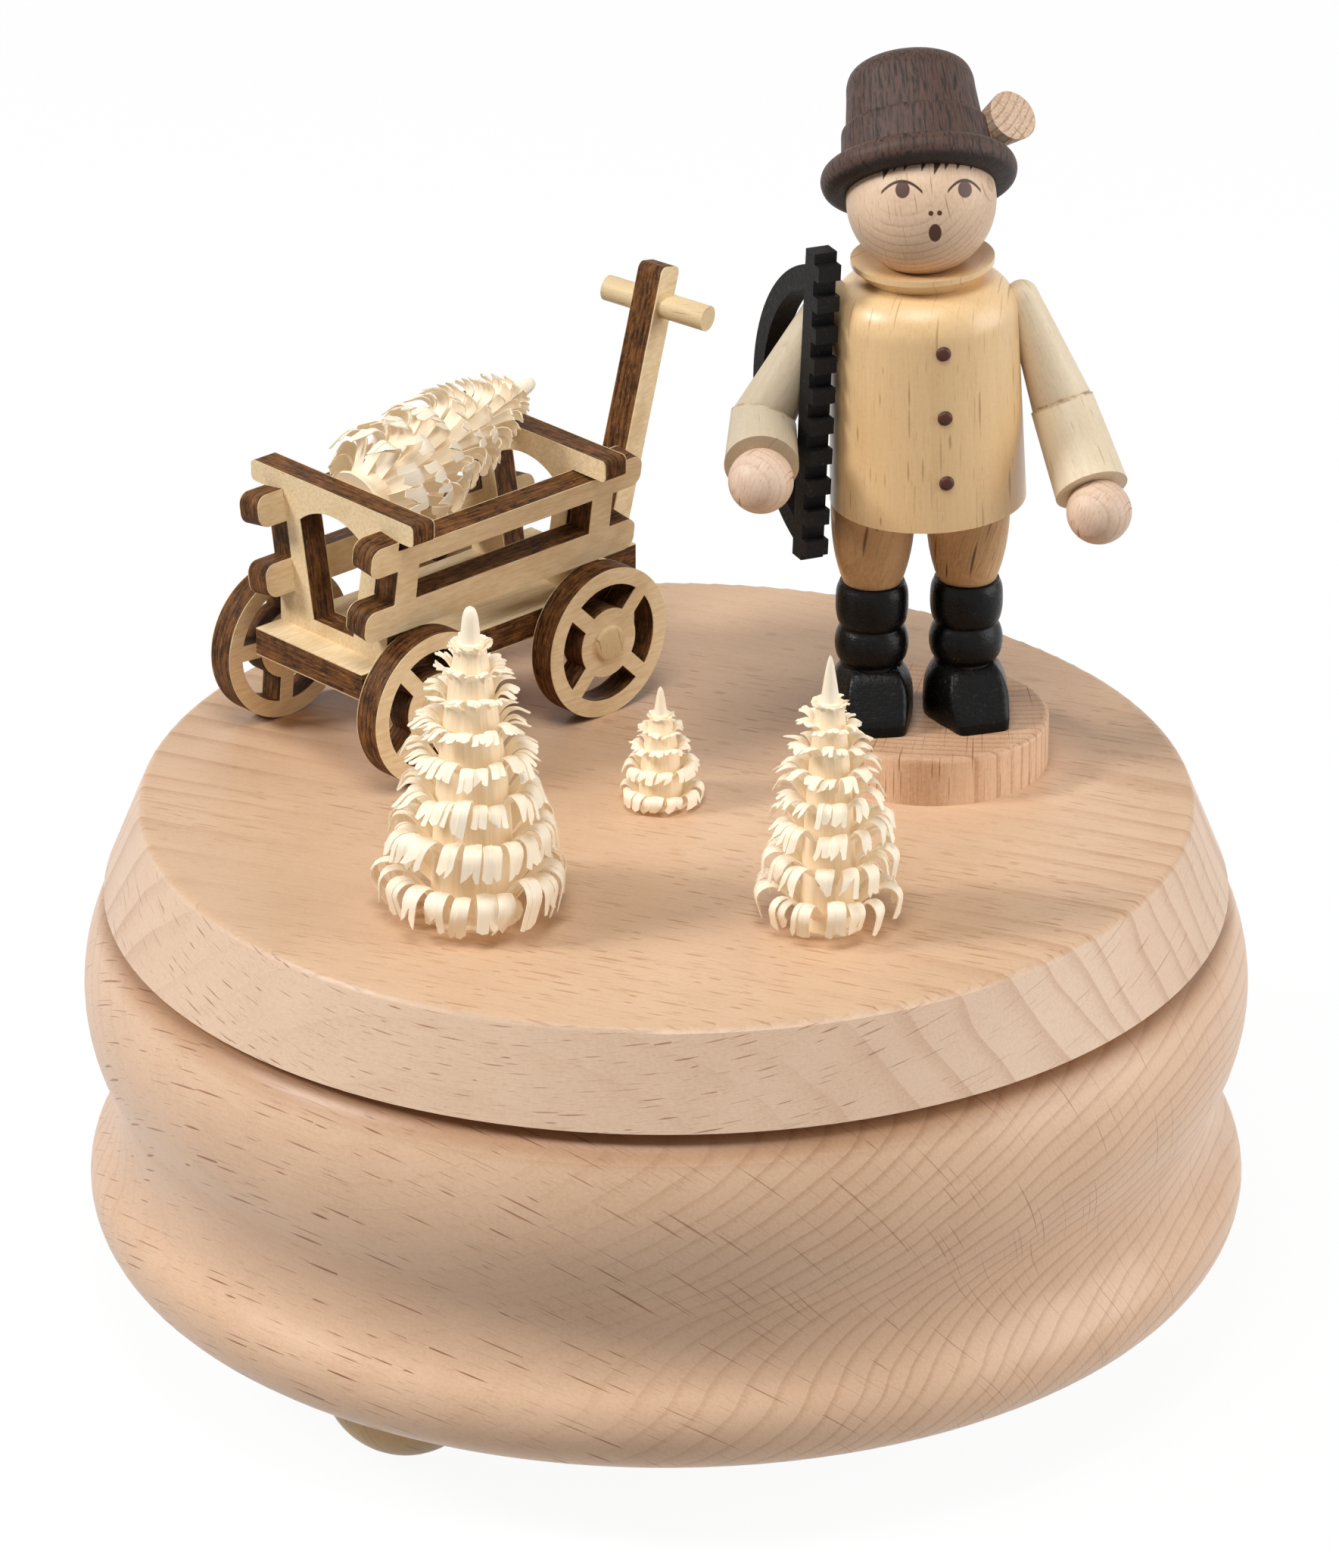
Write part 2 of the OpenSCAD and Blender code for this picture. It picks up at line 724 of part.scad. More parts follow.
// Single-start worm, a round bar set off its axis and twisted, with a two-bladed air brake below
module governor_worm() {
    length = worm_pitch * worm_turns;
    fan_low = worm_low_z + 1.6;
    fan_top = gov_z - length / 2 - 0.6;
    color(brass) translate([worm_x, worm_y, 0]) {
        translate([0, 0, worm_low_z]) cylinder(d = worm_arbor_d, h = bed_z - 2 - worm_low_z);
        translate([0, 0, gov_z - length / 2]) rotate(worm_start)
            linear_extrude(length, twist = -360 * worm_turns, slices = 12 * worm_turns)
                translate([worm_throw, 0]) circle(worm_core_r, $fn = 10);
        translate([-fan_r, -fan_t / 2, fan_low]) cube([2 * fan_r, fan_t, fan_top - fan_low]);
    }
}

// Angles that bring a gap of one wheel to a tooth of the next at rest
mesh_line = gov_turn - 90;
mesh_off = mesh_line % (360 / wheel_teeth);
gov_mesh_turn = mesh_line + 180 + mesh_off * wheel_teeth / gov_pinion_teeth + 180 / gov_pinion_teeth;
worm_mesh_turn = 90;
worm_start = 90 - 180 * worm_turns;

module plate_section() {
    low = plate_d / 2;
    top = plate_top_d / 2;
    slant = norm([low - top, plate_t]);
    drop = plate_t - plate_edge_r;
    edge_x = low - (plate_edge_r * slant + drop * (low - top)) / plate_t;
    edge = [edge_x, drop];
    side = [plate_t, low - top] / slant;
    polygon([[0, 0], [low, 0], edge + plate_edge_r * side, edge, [edge_x, plate_t], [0, plate_t]]);
    translate(edge) circle(plate_edge_r);
}

module turntable_plate() {
    color(beech) difference() {
        translate([0, 0, plate_z0]) rotate_extrude() plate_section();
        translate([0, 0, plate_z0 - cut]) cylinder(r = spindle_r + fit, h = spindle_in + cut);
    }
}

module at_woodman() {
    translate([fig_x, fig_y, 0]) rotate(fig_turn) children();
}

// The coat and all above it lean a little to the woodman's right
module at_trunk() {
    at_woodman() translate([0, 0, hem_z]) rotate([0, -fig_lean, 0]) translate([0, 0, -hem_z]) children();
}

module figure_stand() {
    color(beech) translate([fig_x + stand_shift[0], fig_y + stand_shift[1], plate_z])
        turned_disc(stand_r, stand_h, stand_edge);
}

module at_leg(side) {
    at_woodman() translate([side * leg_gap / 2 + legs_shift, 0, 0]) children();
}

// Boot: wedge-shaped toe, instep and two turned rings
module boot(side) {
    instep = boot_h * foot_part;
    low_ring = boot_h * low_ring_part;
    color(black) at_leg(side) translate([0, 0, stand_z]) {
        rotate(side > 0 ? 12 : 2) hull() {
            cylinder(r = boot_r + 0.25, h = instep - 1.2, $fn = 32);
            cylinder(r = boot_r - 0.5, h = instep, $fn = 32);
            translate([-toe_w / 2, -toe_out, 0]) cube([toe_w, 1, toe_h]);
        }
        translate([0, 0, instep]) rotate_extrude() ring_section(boot_r - 0.05, low_ring, boot_ring_edge);
        translate([0, 0, instep + low_ring]) rotate_extrude()
            ring_section(boot_r, boot_h - instep - low_ring, boot_ring_edge);
    }
}
module boot_left() { boot(1); }
module boot_right() { boot(-1); }

// Outline of a trouser leg that widens quickly above the boot
function leg_curve(h) = [for (i = [0 : 12])
    [thigh_r - (thigh_r - ankle_r) * pow(1 - i / 12, 3), h * i / 12]];

module leg(side) {
    color([0.73, 0.60, 0.42]) difference() {
        at_leg(side) translate([0, 0, boot_z])
            rotate_extrude() polygon(concat([[0, 0]], leg_curve(leg_h + cut), [[0, leg_h + cut]]));
        coat_solid();
    }
}
module leg_left() { leg(1); }
module leg_right() { leg(-1); }

// Coat, shoulders and dished collar turned from one piece
module coat_solid() {
    at_trunk() difference() {
        translate([0, 0, hem_z]) rotate_extrude() {
            top = coat_h + shoulder_r;
            rim = collar_z - hem_z;
            polygon([[0, 0], [hem_r, 0], [chest_r, coat_h], [0, coat_h]]);
            translate([chest_r - shoulder_r, coat_h]) circle(shoulder_r);
            square([chest_r - shoulder_r, top]);
            polygon([[0, coat_h], [neck_r, top - 0.5], [collar_r, rim - collar_t],
                     [collar_r, rim], [0, rim - 1.2]]);
        }
        translate([0, 0, head_z]) sphere(head_r + fit);
    }
}
module coat() { color([0.86, 0.68, 0.40]) coat_solid(); }

module head() {
    color([0.88, 0.74, 0.58]) at_trunk() translate([0, 0, head_z]) sphere(head_r);
}

module on_hat() {
    at_trunk() translate([0, 0, head_z]) rotate([0, hat_roll, 0]) rotate([hat_tilt, 0, 0])
        translate([0, 0, hat_seat]) children();
}

module hat_solid() {
    crown_z0 = brim_t + band_h;
    on_hat() difference() {
        rotate_extrude() {
            ring_section(brim_r, brim_t, 0.8);
            polygon([[0, 0], [band_r, 0], [band_r, brim_t], [band_top_r, crown_z0], [0, crown_z0]]);
            polygon([[0, crown_z0], [crown_base_r, crown_z0],
                     [crown_top_r, hat_h - hat_edge_r], [0, hat_h - hat_edge_r]]);
            translate([crown_top_r - hat_edge_r, hat_h - hat_edge_r]) circle(hat_edge_r);
            square([crown_top_r - hat_edge_r, hat_h]);
        }
        translate([0, 0, -hat_seat]) sphere(head_r + fit);
    }
}
module hat() { color([0.26, 0.18, 0.14]) hat_solid(); }

// Tapered peg stuck behind the hat band
module hat_tuft() {
    color([0.72, 0.57, 0.40]) difference() {
        on_hat() translate([band_r - 1, 0.6, brim_t + 2]) rotate([0, 62, 8])
            cylinder(r1 = tuft_r, r2 = tuft_end_r, h = tuft_len);
        hat_solid();
    }
}

// A tapered limb from a to b that runs on past b
module limb(a, b, ra, rb, past) {
    d = b - a;
    l = norm(d);
    translate(a) along(d) cylinder(r1 = ra, r2 = rb + (rb - ra) * past / l, h = l + past);
}

// Keeps only what lies before the mitre plane through p with normal n
module mitre_off(p, n) {
    translate(p) along(n) translate([-mitre_room / 2, -mitre_room / 2, 0])
        cube([mitre_room, mitre_room, mitre_room]);
}

module upper_arm(a, b, c) {
    n = unit(b - a) + unit(c - b);
    color([0.90, 0.84, 0.70]) difference() {
        at_woodman() difference() {
            union() {
                limb(a, b, shoulder_arm_r, elbow_r, elbow_past);
                translate(a) sphere(shoulder_arm_r);
            }
            mitre_off(b, n);
        }
        coat_solid();
    }
}

module forearm(a, b, c) {
    n = unit(b - a) + unit(c - b);
    color([0.90, 0.84, 0.70]) at_woodman() difference() {
        translate(c) along(b - c) cylinder(r1 = cuff_r, r2 = elbow_r, h = norm(c - b) + elbow_past);
        mitre_off(b, -n);
        translate(c + hand_out * unit(c - b)) sphere(hand_r + fit);
    }
}

module hand(b, c) {
    color([0.87, 0.70, 0.58]) at_woodman() translate(c + hand_out * unit(c - b)) sphere(hand_r);
}

module upper_arm_left() { upper_arm(left_shoulder, left_elbow, left_wrist); }
module upper_arm_right() { upper_arm(right_shoulder, right_elbow, right_wrist); }
module forearm_left() { forearm(left_shoulder, left_elbow, left_wrist); }
module forearm_right() { forearm(right_shoulder, right_elbow, right_wrist); }
module hand_left() { hand(left_elbow, left_wrist); }
module hand_right() { hand(right_elbow, right_wrist); }

// Bow saw cut from one board: toothed bar, bow and the window between them
module saw_outline() {
    centre = [saw_r - saw_sag - saw_bar, saw_len / 2];
    pitch = (saw_len - 3) / saw_teeth;
    difference() {
        union() {
            translate([-saw_bar, 0]) square([saw_bar, saw_len]);
            intersection() {
                translate(centre) circle(saw_r);
                translate([-saw_r, 0]) square([saw_r, saw_len]);
            }
            for (i = [0 : saw_teeth])
                translate([-cut / 2, pitch * i + 0.6]) square([cut / 2 + saw_tooth, pitch / 2]);
        }
        intersection() {
            translate(centre) circle(saw_r - saw_bow);
            translate([-saw_r - saw_bar, 0]) square([saw_r, saw_len]);
        }
    }
}

module bow_saw() {
    color(black) at_woodman() translate(saw_at) rotate([0, saw_lean, 0]) rotate(saw_turn - 90)
        rotate([90, 0, 0]) translate([0, 0, -saw_t / 2]) linear_extrude(saw_t) saw_outline();
}

module on_cart() {
    translate([cart_at[0], cart_at[1], plate_z]) rotate(cart_yaw) children();
}

module cart_floor() {
    color(ply) on_cart() difference() {
        union() {
            translate([-floor_len / 2, -floor_w / 2, floor_z]) cube([floor_len, floor_w, ply_t]);
            translate([0, -tongue_w / 2, floor_z]) cube([floor_len / 2 + tongue_len, tongue_w, ply_t]);
        }
        drawbar_stick(fit);
    }
}

// End board: foot, two leaning legs, arched window and a top bar that overhangs the side panels
module end_outline(gap) {
    bar_z = rail_z + gap;
    foot_w = floor_w / 2;
    ledge_z = side_z - (foot_w - end_low_w) * tan(end_lean);
    top_w = end_low_w + side_h * sin(end_lean);
    slant_w = end_low_w + (bar_z - side_z) * tan(end_lean);
    over_w = top_w + ply_t / cos(end_lean) + bar_over;
    window_top = top_w - leg_w;
    window_z = bar_z - window_drop;
    arch_r = (pow(window_top, 2) + pow(window_rise, 2)) / (2 * window_rise);
    difference() {
        union() {
            polygon([[-foot_w, floor_top], [foot_w, floor_top], [foot_w, ledge_z], [end_low_w, side_z],
                     [slant_w, bar_z], [slant_w, bar_z + bar_edge], [-slant_w, bar_z + bar_edge],
                     [-slant_w, bar_z], [-end_low_w, side_z], [-foot_w, ledge_z]]);
            translate([-over_w + bar_edge, bar_z]) square([2 * (over_w - bar_edge), bar_h]);
            translate([-over_w, bar_z + bar_edge]) square([2 * over_w, bar_h - 2 * bar_edge]);
            for (x = [-1, 1], z = [bar_edge, bar_h - bar_edge])
                translate([x * (over_w - bar_edge), bar_z + z]) circle(bar_edge, $fn = 24);
        }
        polygon([[-window_low, floor_top + window_sill], [window_low, floor_top + window_sill],
                 [window_top, window_z], [-window_top, window_z]]);
        intersection() {
            translate([0, window_z + window_rise - arch_r]) circle(arch_r);
            translate([-window_top, window_z - 0.01]) square([2 * window_top, 2 * window_rise]);
        }
    }
}

module end_board(x, gap) {
    color(ply) on_cart() translate([x, 0, 0]) rotate([90, 0, 90]) linear_extrude(ply_t) end_outline(gap);
}
module cart_tailboard() { end_board(box_tail, tail_gap); }
module cart_headboard() { end_board(box_tail + box_len - ply_t, head_gap); }

module rounded_bar(x0, x1, z0, z1) {
    translate([x0 + horn_r, z0]) square([x1 - x0 - 2 * horn_r, z1 - z0]);
    translate([x0, z0 + horn_r]) square([x1 - x0, z1 - z0 - 2 * horn_r]);
    for (x = [x0 + horn_r, x1 - horn_r], z = [z0 + horn_r, z1 - horn_r])
        translate([x, z]) circle(horn_r, $fn = 32);
}

// Side panel: two rails with rounded horns, joined by posts; the end boards' bars sit between the horns
module side_outline() {
    tail = box_tail - tail_over;
    front = box_tail + box_len + front_over;
    difference() {
        union() {
            rounded_bar(tail, front, 0, low_rail_h);
            rounded_bar(tail, front, side_h - top_rail_h, side_h + horn_up);
            for (x = [tail + horn_len, front - horn_len - post_w])
                translate([x, low_rail_h / 2]) square([post_w, side_h - low_rail_h]);
        }
        translate([box_tail - fit, side_h]) square([front - horn_len - box_tail + fit, horn_up + cut]);
    }
}

module side_panel(side) {
    color(ply) on_cart() translate([0, side * end_low_w, side_z]) rotate([90 - side * end_lean, 0, 0])
        translate([0, 0, side > 0 ? -ply_t : 0]) linear_extrude(ply_t) side_outline();
}
module cart_side_left() { side_panel(1); }
module cart_side_right() { side_panel(-1); }

// Wheel with four arc windows; y is the outward direction of its hub face
module cart_wheel(x, side, turn) {
    place = side > 0 ? track_in + far_out : -track_in;
    color(ply) on_cart() translate([x, place, cart_wheel_r]) rotate([-side * 90, 0, 0])
        linear_extrude(ply_t) difference() {
            circle(cart_wheel_r);
            circle(axle_r + fit);
            difference() {
                circle(cart_wheel_r - wheel_rim);
                circle(wheel_hub_r);
                for (a = [0, 90])
                    rotate(a + turn) square([2 * cart_wheel_r, spoke_w], center = true);
            }
        }
}
module wheel_front_left() { cart_wheel(wheelbase / 2, 1, 30); }
module wheel_front_right() { cart_wheel(wheelbase / 2, -1, 45); }
module wheel_rear_left() { cart_wheel(-wheelbase / 2, 1, 5); }
module wheel_rear_right() { cart_wheel(-wheelbase / 2, -1, 40); }

// Axle dowel in a bearer glued under the floor
module cart_axle(x) {
    half = track_in + ply_t;
    color(ply) on_cart() translate([x, 0, cart_wheel_r]) {
        rotate([90, 0, 0]) translate([0, 0, -half - far_out]) cylinder(r = axle_r, h = 2 * half + far_out);
        translate([-axle_r, -floor_w / 2 + 1, 0]) cube([2 * axle_r, floor_w - 2, floor_z - cart_wheel_r]);
    }
}
module axle_front() { cart_axle(wheelbase / 2); }
module axle_rear() { cart_axle(-wheelbase / 2); }

// Drawbar's own frame: Z along the bar, Y along its handle
module on_drawbar() {
    translate([drawbar_x, 0, floor_z]) rotate([0, drawbar_lean, 0]) rotate(drawbar_twist) children();
}

// Blank of the drawbar, its top rounded across the width
module drawbar_stick(gap) {
    top = drawbar_len + ply_t;
    on_drawbar() rotate([90, 0, 0]) translate([0, 0, -ply_t / 2 - gap]) linear_extrude(ply_t + 2 * gap) {
        translate([-drawbar_w / 2 - gap, -cut]) square([drawbar_w + 2 * gap, top - drawbar_edge + cut]);
        translate([-drawbar_w / 2 + drawbar_edge, 0]) square([drawbar_w - 2 * drawbar_edge, top]);
        for (x = [-1, 1])
            translate([x * (drawbar_w / 2 - drawbar_edge), top - drawbar_edge])
                circle(drawbar_edge, $fn = 32);
    }
}

module drawbar() {
    handle_z = drawbar_len + ply_t - handle_down;
    color(ply) on_cart() difference() {
        intersection() {
            drawbar_stick(0);
            translate([0, -floor_w / 2, floor_z]) cube([3 * floor_len, floor_w, 3 * drawbar_len]);
        }
        on_drawbar() translate([0, ply_t, handle_z]) rotate([90, 0, 0])
            cylinder(d = handle_d + 2 * fit, h = 2 * ply_t);
    }
}

module drawbar_handle() {
    handle_z = drawbar_len + ply_t - handle_down;
    color([0.90, 0.80, 0.58]) on_cart() on_drawbar()
        translate([0, handle_len / 2 - handle_shift, handle_z]) rotate([90, 0, 0])
            cylinder(d = handle_d, h = handle_len);
}

// Shaved tree as one closed skin: a tapering core, and tiers of ribbons that rise from it and curl over.
// Each tier is a band of the core in which every second cell is drawn out into a ribbon of four-sided rings.
function swing(i, k) = sin(i * 137.5 + k * 71.3);
function sum_to(v, k) = k <= 0 ? 0 : v[k - 1] + sum_to(v, k - 1);
function tier_share(k, tiers) = let (t = k / (tiers - 1)) t * (1.4 - 0.4 * t);
function ring_points(r, z, n) = [for (j = [0 : 2 * n - 1])
    let (a = 360 / n * (floor(j / 2) + (j % 2 - 0.5) * ribbon_share)) [r * cos(a), r * sin(a), z]];

module shaved_tree(h, core, tip_core, reach, tiers, n) {
    low_z = 0.105 * h;
    high_z = 0.885 * h;
    tier_z = [for (k = [0 : tiers - 1]) low_z + (high_z - low_z) * tier_share(k, tiers)];
    core_at = [for (k = [0 : tiers - 1]) core + (tip_core - core) * tier_z[k] / high_z];
    segments = [for (k = [0 : tiers - 1]) k < tiers / 2 ? 3 : 2];
    // Reach, start angle and end angle of each tier's ribbons
    reach_at = [for (k = [0 : tiers - 1]) let (t = k / (tiers - 1))
        reach * (1 - 0.15 * t - 0.58 * pow(t, 3)) - core_at[k]];
    start_at = [for (k = [0 : tiers - 1]) 58 - 16 * k / (tiers - 1)];
    end_at = [for (k = [0 : tiers - 1]) -100 + 115 * k / (tiers - 1)];
    length_at = [for (k = [0 : tiers - 1])
        let (turn = (start_at[k] - end_at[k]) * PI / 180)
        reach_at[k] * turn / (sin(start_at[k]) - sin(end_at[k]))];

    rings = concat(
        [ring_points(core + 0.1, 0, n)],
        [for (k = [0 : tiers - 1]) each [
            ring_points(core_at[k], tier_z[k] - root_band / 2, n),
            ring_points(core_at[k], tier_z[k] + root_band / 2, n)]],
        [ring_points(tip_core * 0.9, high_z + 0.04 * h, n)]);
    core_points = concat([for (r = rings) each r], [[0, 0, 0], [0, 0, h]]);
    row = 2 * n;
    last = len(rings) - 1;
    foot_point = row * len(rings);

    // Ribbon rings: lower left, lower right, upper right, upper left
    ribbon_points = [for (k = [0 : tiers - 1], i = [0 : n - 1], s = [1 : segments[k]])
        let (share = s / segments[k],
             arc = length_at[k] * (1 + 0.10 * swing(i, k)) * share,
             full = length_at[k],
             turn = (start_at[k] - end_at[k]) / full,
             lean = start_at[k] - turn * arc,
             rad = 180 / PI / turn,
             out = core_at[k] + rad * (sin(start_at[k]) - sin(lean)),
             up = tier_z[k] + rad * (cos(lean) - cos(start_at[k])),
             a = 360 / n * i + 3 * swing(k, i) * share,
             half_w = PI * core_at[k] / n * ribbon_share * (1 - 0.1 * share),
             half_t = (root_band + (ribbon_t - root_band) * share) / 2)
        each [for (c = [[-1, -1], [1, -1], [1, 1], [-1, 1]])
            let (r = out - c[1] * half_t * sin(lean), z = up + c[1] * half_t * cos(lean), w = c[0] * half_w)
            [r * cos(a) - w * sin(a), r * sin(a) + w * cos(a), z]]];
    ribbon_start = [for (k = [0 : tiers]) foot_point + 2 + 4 * n * sum_to(segments, k)];

    function cell(k, i, s, c) = s == 0
        ? row * (1 + 2 * k + (c < 2 ? 0 : 1)) + 2 * i + (c == 1 || c == 2 ? 1 : 0)
        : ribbon_start[k] + 4 * (i * segments[k] + s - 1) + c;

    core_faces = [for (q = [0 : last - 1], j = [0 : row - 1])
        let (b = (j + 1) % row)
        if (q % 2 == 0 || j % 2 == 1)
            each [[row * (q + 1) + j, row * (q + 1) + b, row * q + b],
                  [row * (q + 1) + j, row * q + b, row * q + j]]];
    end_faces = [for (j = [0 : row - 1])
        let (b = (j + 1) % row)
        each [[foot_point, j, b], [foot_point + 1, row * last + b, row * last + j]]];
    ribbon_faces = [for (k = [0 : tiers - 1], i = [0 : n - 1], s = [0 : segments[k] - 1], c = [0 : 3])
        let (p = cell(k, i, s, c), q = cell(k, i, s, (c + 1) % 4),
             p1 = cell(k, i, s + 1, c), q1 = cell(k, i, s + 1, (c + 1) % 4))
        each [[p, p1, q1], [p, q1, q]]];
    tip_faces = [for (k = [0 : tiers - 1], i = [0 : n - 1])
        let (s = segments[k])
        each [[cell(k, i, s, 3), cell(k, i, s, 2), cell(k, i, s, 1)],
              [cell(k, i, s, 3), cell(k, i, s, 1), cell(k, i, s, 0)]]];
    color(shaving) polyhedron(concat(core_points, ribbon_points),
                              concat(core_faces, end_faces, ribbon_faces, tip_faces));
}

module tree_large() {
    translate([large_at[0], large_at[1], plate_z])
        shaved_tree(large_h, large_core, large_tip, large_reach, tiers = 9, n = 14);
}
module tree_medium() {
    translate([medium_at[0], medium_at[1], plate_z])
        shaved_tree(medium_h, medium_core, medium_tip, medium_reach, tiers = 7, n = 13);
}
module tree_small() {
    translate([small_at[0], small_at[1], plate_z])
        shaved_tree(small_h, small_core, small_tip, small_reach, tiers = 5, n = 11);
}
// Felled tree wedged between the side panels, its tip over the headboard's bar
module felled_tree() {
    on_cart() translate(felled_at + [0, 0, floor_top]) rotate([0, 90 - felled_rise, felled_turn])
        shaved_tree(felled_h, felled_core, felled_tip, felled_reach, tiers = 8, n = 13);
}

base_body();
bottom_board();
board_screws();
ball_feet();
spindle_bush();
glide_washer();
bedplate();
movement_screws();
spring_barrel();
mainspring();
comb();
comb_screws();
cylinder_bracket();
governor_frame();
drive_spindle();
crown_wheel();
pinned_cylinder();
cylinder_arbor();
cylinder_wheel();
governor_wheel();
governor_worm();
turntable_plate();
figure_stand();
boot_left();
boot_right();
leg_left();
leg_right();
coat();
head();
hat();
hat_tuft();
upper_arm_left();
upper_arm_right();
forearm_left();
forearm_right();
hand_left();
hand_right();
bow_saw();
cart_floor();
cart_tailboard();
cart_headboard();
cart_side_left();
cart_side_right();
wheel_front_left();
wheel_front_right();
wheel_rear_left();
wheel_rear_right();
axle_front();
axle_rear();
drawbar();
drawbar_handle();
felled_tree();
tree_large();
tree_medium();
tree_small();
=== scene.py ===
"""Looks of a turned beech music box: woodman, handcart and shaved trees on a turning plate.

Formulas are in millimetres; meshes and shader coordinates are in metres, and MM takes one to the other.
"""
import json

import bpy
import numpy as np
from mathutils import Matrix, Vector


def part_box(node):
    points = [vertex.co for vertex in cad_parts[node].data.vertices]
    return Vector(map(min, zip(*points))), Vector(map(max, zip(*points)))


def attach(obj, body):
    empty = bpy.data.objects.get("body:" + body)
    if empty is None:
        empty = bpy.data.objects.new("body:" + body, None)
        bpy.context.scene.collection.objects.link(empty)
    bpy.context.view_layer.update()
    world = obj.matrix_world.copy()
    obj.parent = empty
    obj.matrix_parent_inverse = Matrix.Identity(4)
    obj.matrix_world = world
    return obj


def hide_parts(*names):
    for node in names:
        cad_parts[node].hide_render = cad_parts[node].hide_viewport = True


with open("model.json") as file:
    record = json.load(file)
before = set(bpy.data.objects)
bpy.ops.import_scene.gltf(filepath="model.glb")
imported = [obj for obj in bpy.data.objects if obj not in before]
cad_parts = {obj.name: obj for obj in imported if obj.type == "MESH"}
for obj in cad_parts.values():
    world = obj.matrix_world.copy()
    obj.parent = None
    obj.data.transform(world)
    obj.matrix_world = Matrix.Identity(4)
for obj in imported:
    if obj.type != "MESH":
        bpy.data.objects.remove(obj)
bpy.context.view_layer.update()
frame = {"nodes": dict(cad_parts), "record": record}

MM = 0.001
X, Y, Z = np.eye(3)
UNTURNED = np.eye(3)
POINT = 0.001  # radius, or share of one, at the poles of turned shapes
CREASE = 50  # degrees past which an edge stays sharp
VIEW_DOWN = -25  # turn about X from level to the photograph's line of sight


# Places

def turn(axis, degrees):
    """3 x 3 matrix of a right-handed turn about X (0), Y (1) or Z (2)."""
    c, s = np.cos(np.radians(degrees)), np.sin(np.radians(degrees))
    i, j = (axis + 1) % 3, (axis + 2) % 3
    m = np.eye(3)
    m[i, i] = m[j, j] = c
    m[i, j], m[j, i] = -s, s
    return m


def node_middle(node):
    """Centre of a CAD node's box, in millimetres."""
    low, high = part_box(node)
    return (np.array(low) + np.array(high)) / 2 / MM


def framed(along, beside=X):
    """Matrix whose first column points along, with two columns square to it, the second one nearest to beside."""
    a = np.asarray(along) / np.linalg.norm(along)
    b = beside - a * (a @ beside)
    b = b / np.linalg.norm(b)
    return np.stack([a, b, np.cross(a, b)], -1)


def touch(node, start, way):
    """Where a ray from start meets a CAD node, in millimetres, and the surface normal there."""
    _, place, normal, _ = frame["nodes"][node].ray_cast(Vector(start * MM), Vector(way))
    return np.array(place) / MM, np.array(normal)


PLATE_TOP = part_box("turntable_plate")[1][2] / MM
BASE_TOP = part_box("base_body")[1][2] / MM
STAND_TOP, HEM = PLATE_TOP + 4.6, PLATE_TOP + 25.7
WOODMAN_AT = np.array([23.3, 7.3, 0])
WOODMAN_TURN = turn(2, 5)
TRUNK_TURN = WOODMAN_TURN @ turn(1, -2)
HAT_TURN = TRUNK_TURN @ turn(0, -41)
HEAD = node_middle("head")
CART_TURN = turn(2, 43.4)
CART_AT = np.array([-19.8, 16.7, PLATE_TOP])


def woodman(point):
    """From the woodman's own frame, with the figure's axis at x = y = 0."""
    return WOODMAN_AT + WOODMAN_TURN @ np.asarray(point)


def trunk(point):
    """From the frame of coat, head and hat, which lean about the hem."""
    lift = np.array([0, 0, HEM])
    return WOODMAN_AT + WOODMAN_TURN @ lift + TRUNK_TURN @ (np.asarray(point) - lift)


HAT_SEAT = trunk((0, 0, PLATE_TOP + 53.8))
HAT_LIFT = 1.3


def cart(point):
    """From the cart's frame: x along its length, y to its left, z over the plate."""
    return CART_AT + CART_TURN @ np.asarray(point)


# Shader fields

class Field:
    """An output socket of a material. Arithmetic on it adds Math nodes to that material."""

    def __init__(self, look, socket):
        self.look, self.socket = look, socket

    def math(self, operation, *others):
        """A Math node on this field and the others."""
        return self.look.add("Math", {"operation": operation}, dict(enumerate((self, *others))))

    def __add__(self, other):
        return self.math("ADD", other)

    def __sub__(self, other):
        return self.math("SUBTRACT", other)

    def __mul__(self, other):
        return self.math("MULTIPLY", other)

    def __truediv__(self, other):
        return self.math("DIVIDE", other)

    def __pow__(self, other):
        return self.math("POWER", other)

    def __rsub__(self, other):
        return self.look.add("Math", {"operation": "SUBTRACT"}, {0: other, 1: self})

    def __abs__(self):
        return self.math("ABSOLUTE")

    __radd__, __rmul__ = __add__, __mul__

    def sibling(self, out):
        """Another output of the same node."""
        return Field(self.look, self.socket.node.outputs[out])

    def step(self, low, high):
        """Smooth step, 0 at low and 1 at high; it falls where low is above high."""
        return self.look.add("MapRange", {"interpolation_type": "SMOOTHSTEP"}, {0: self, 1: low, 2: high})


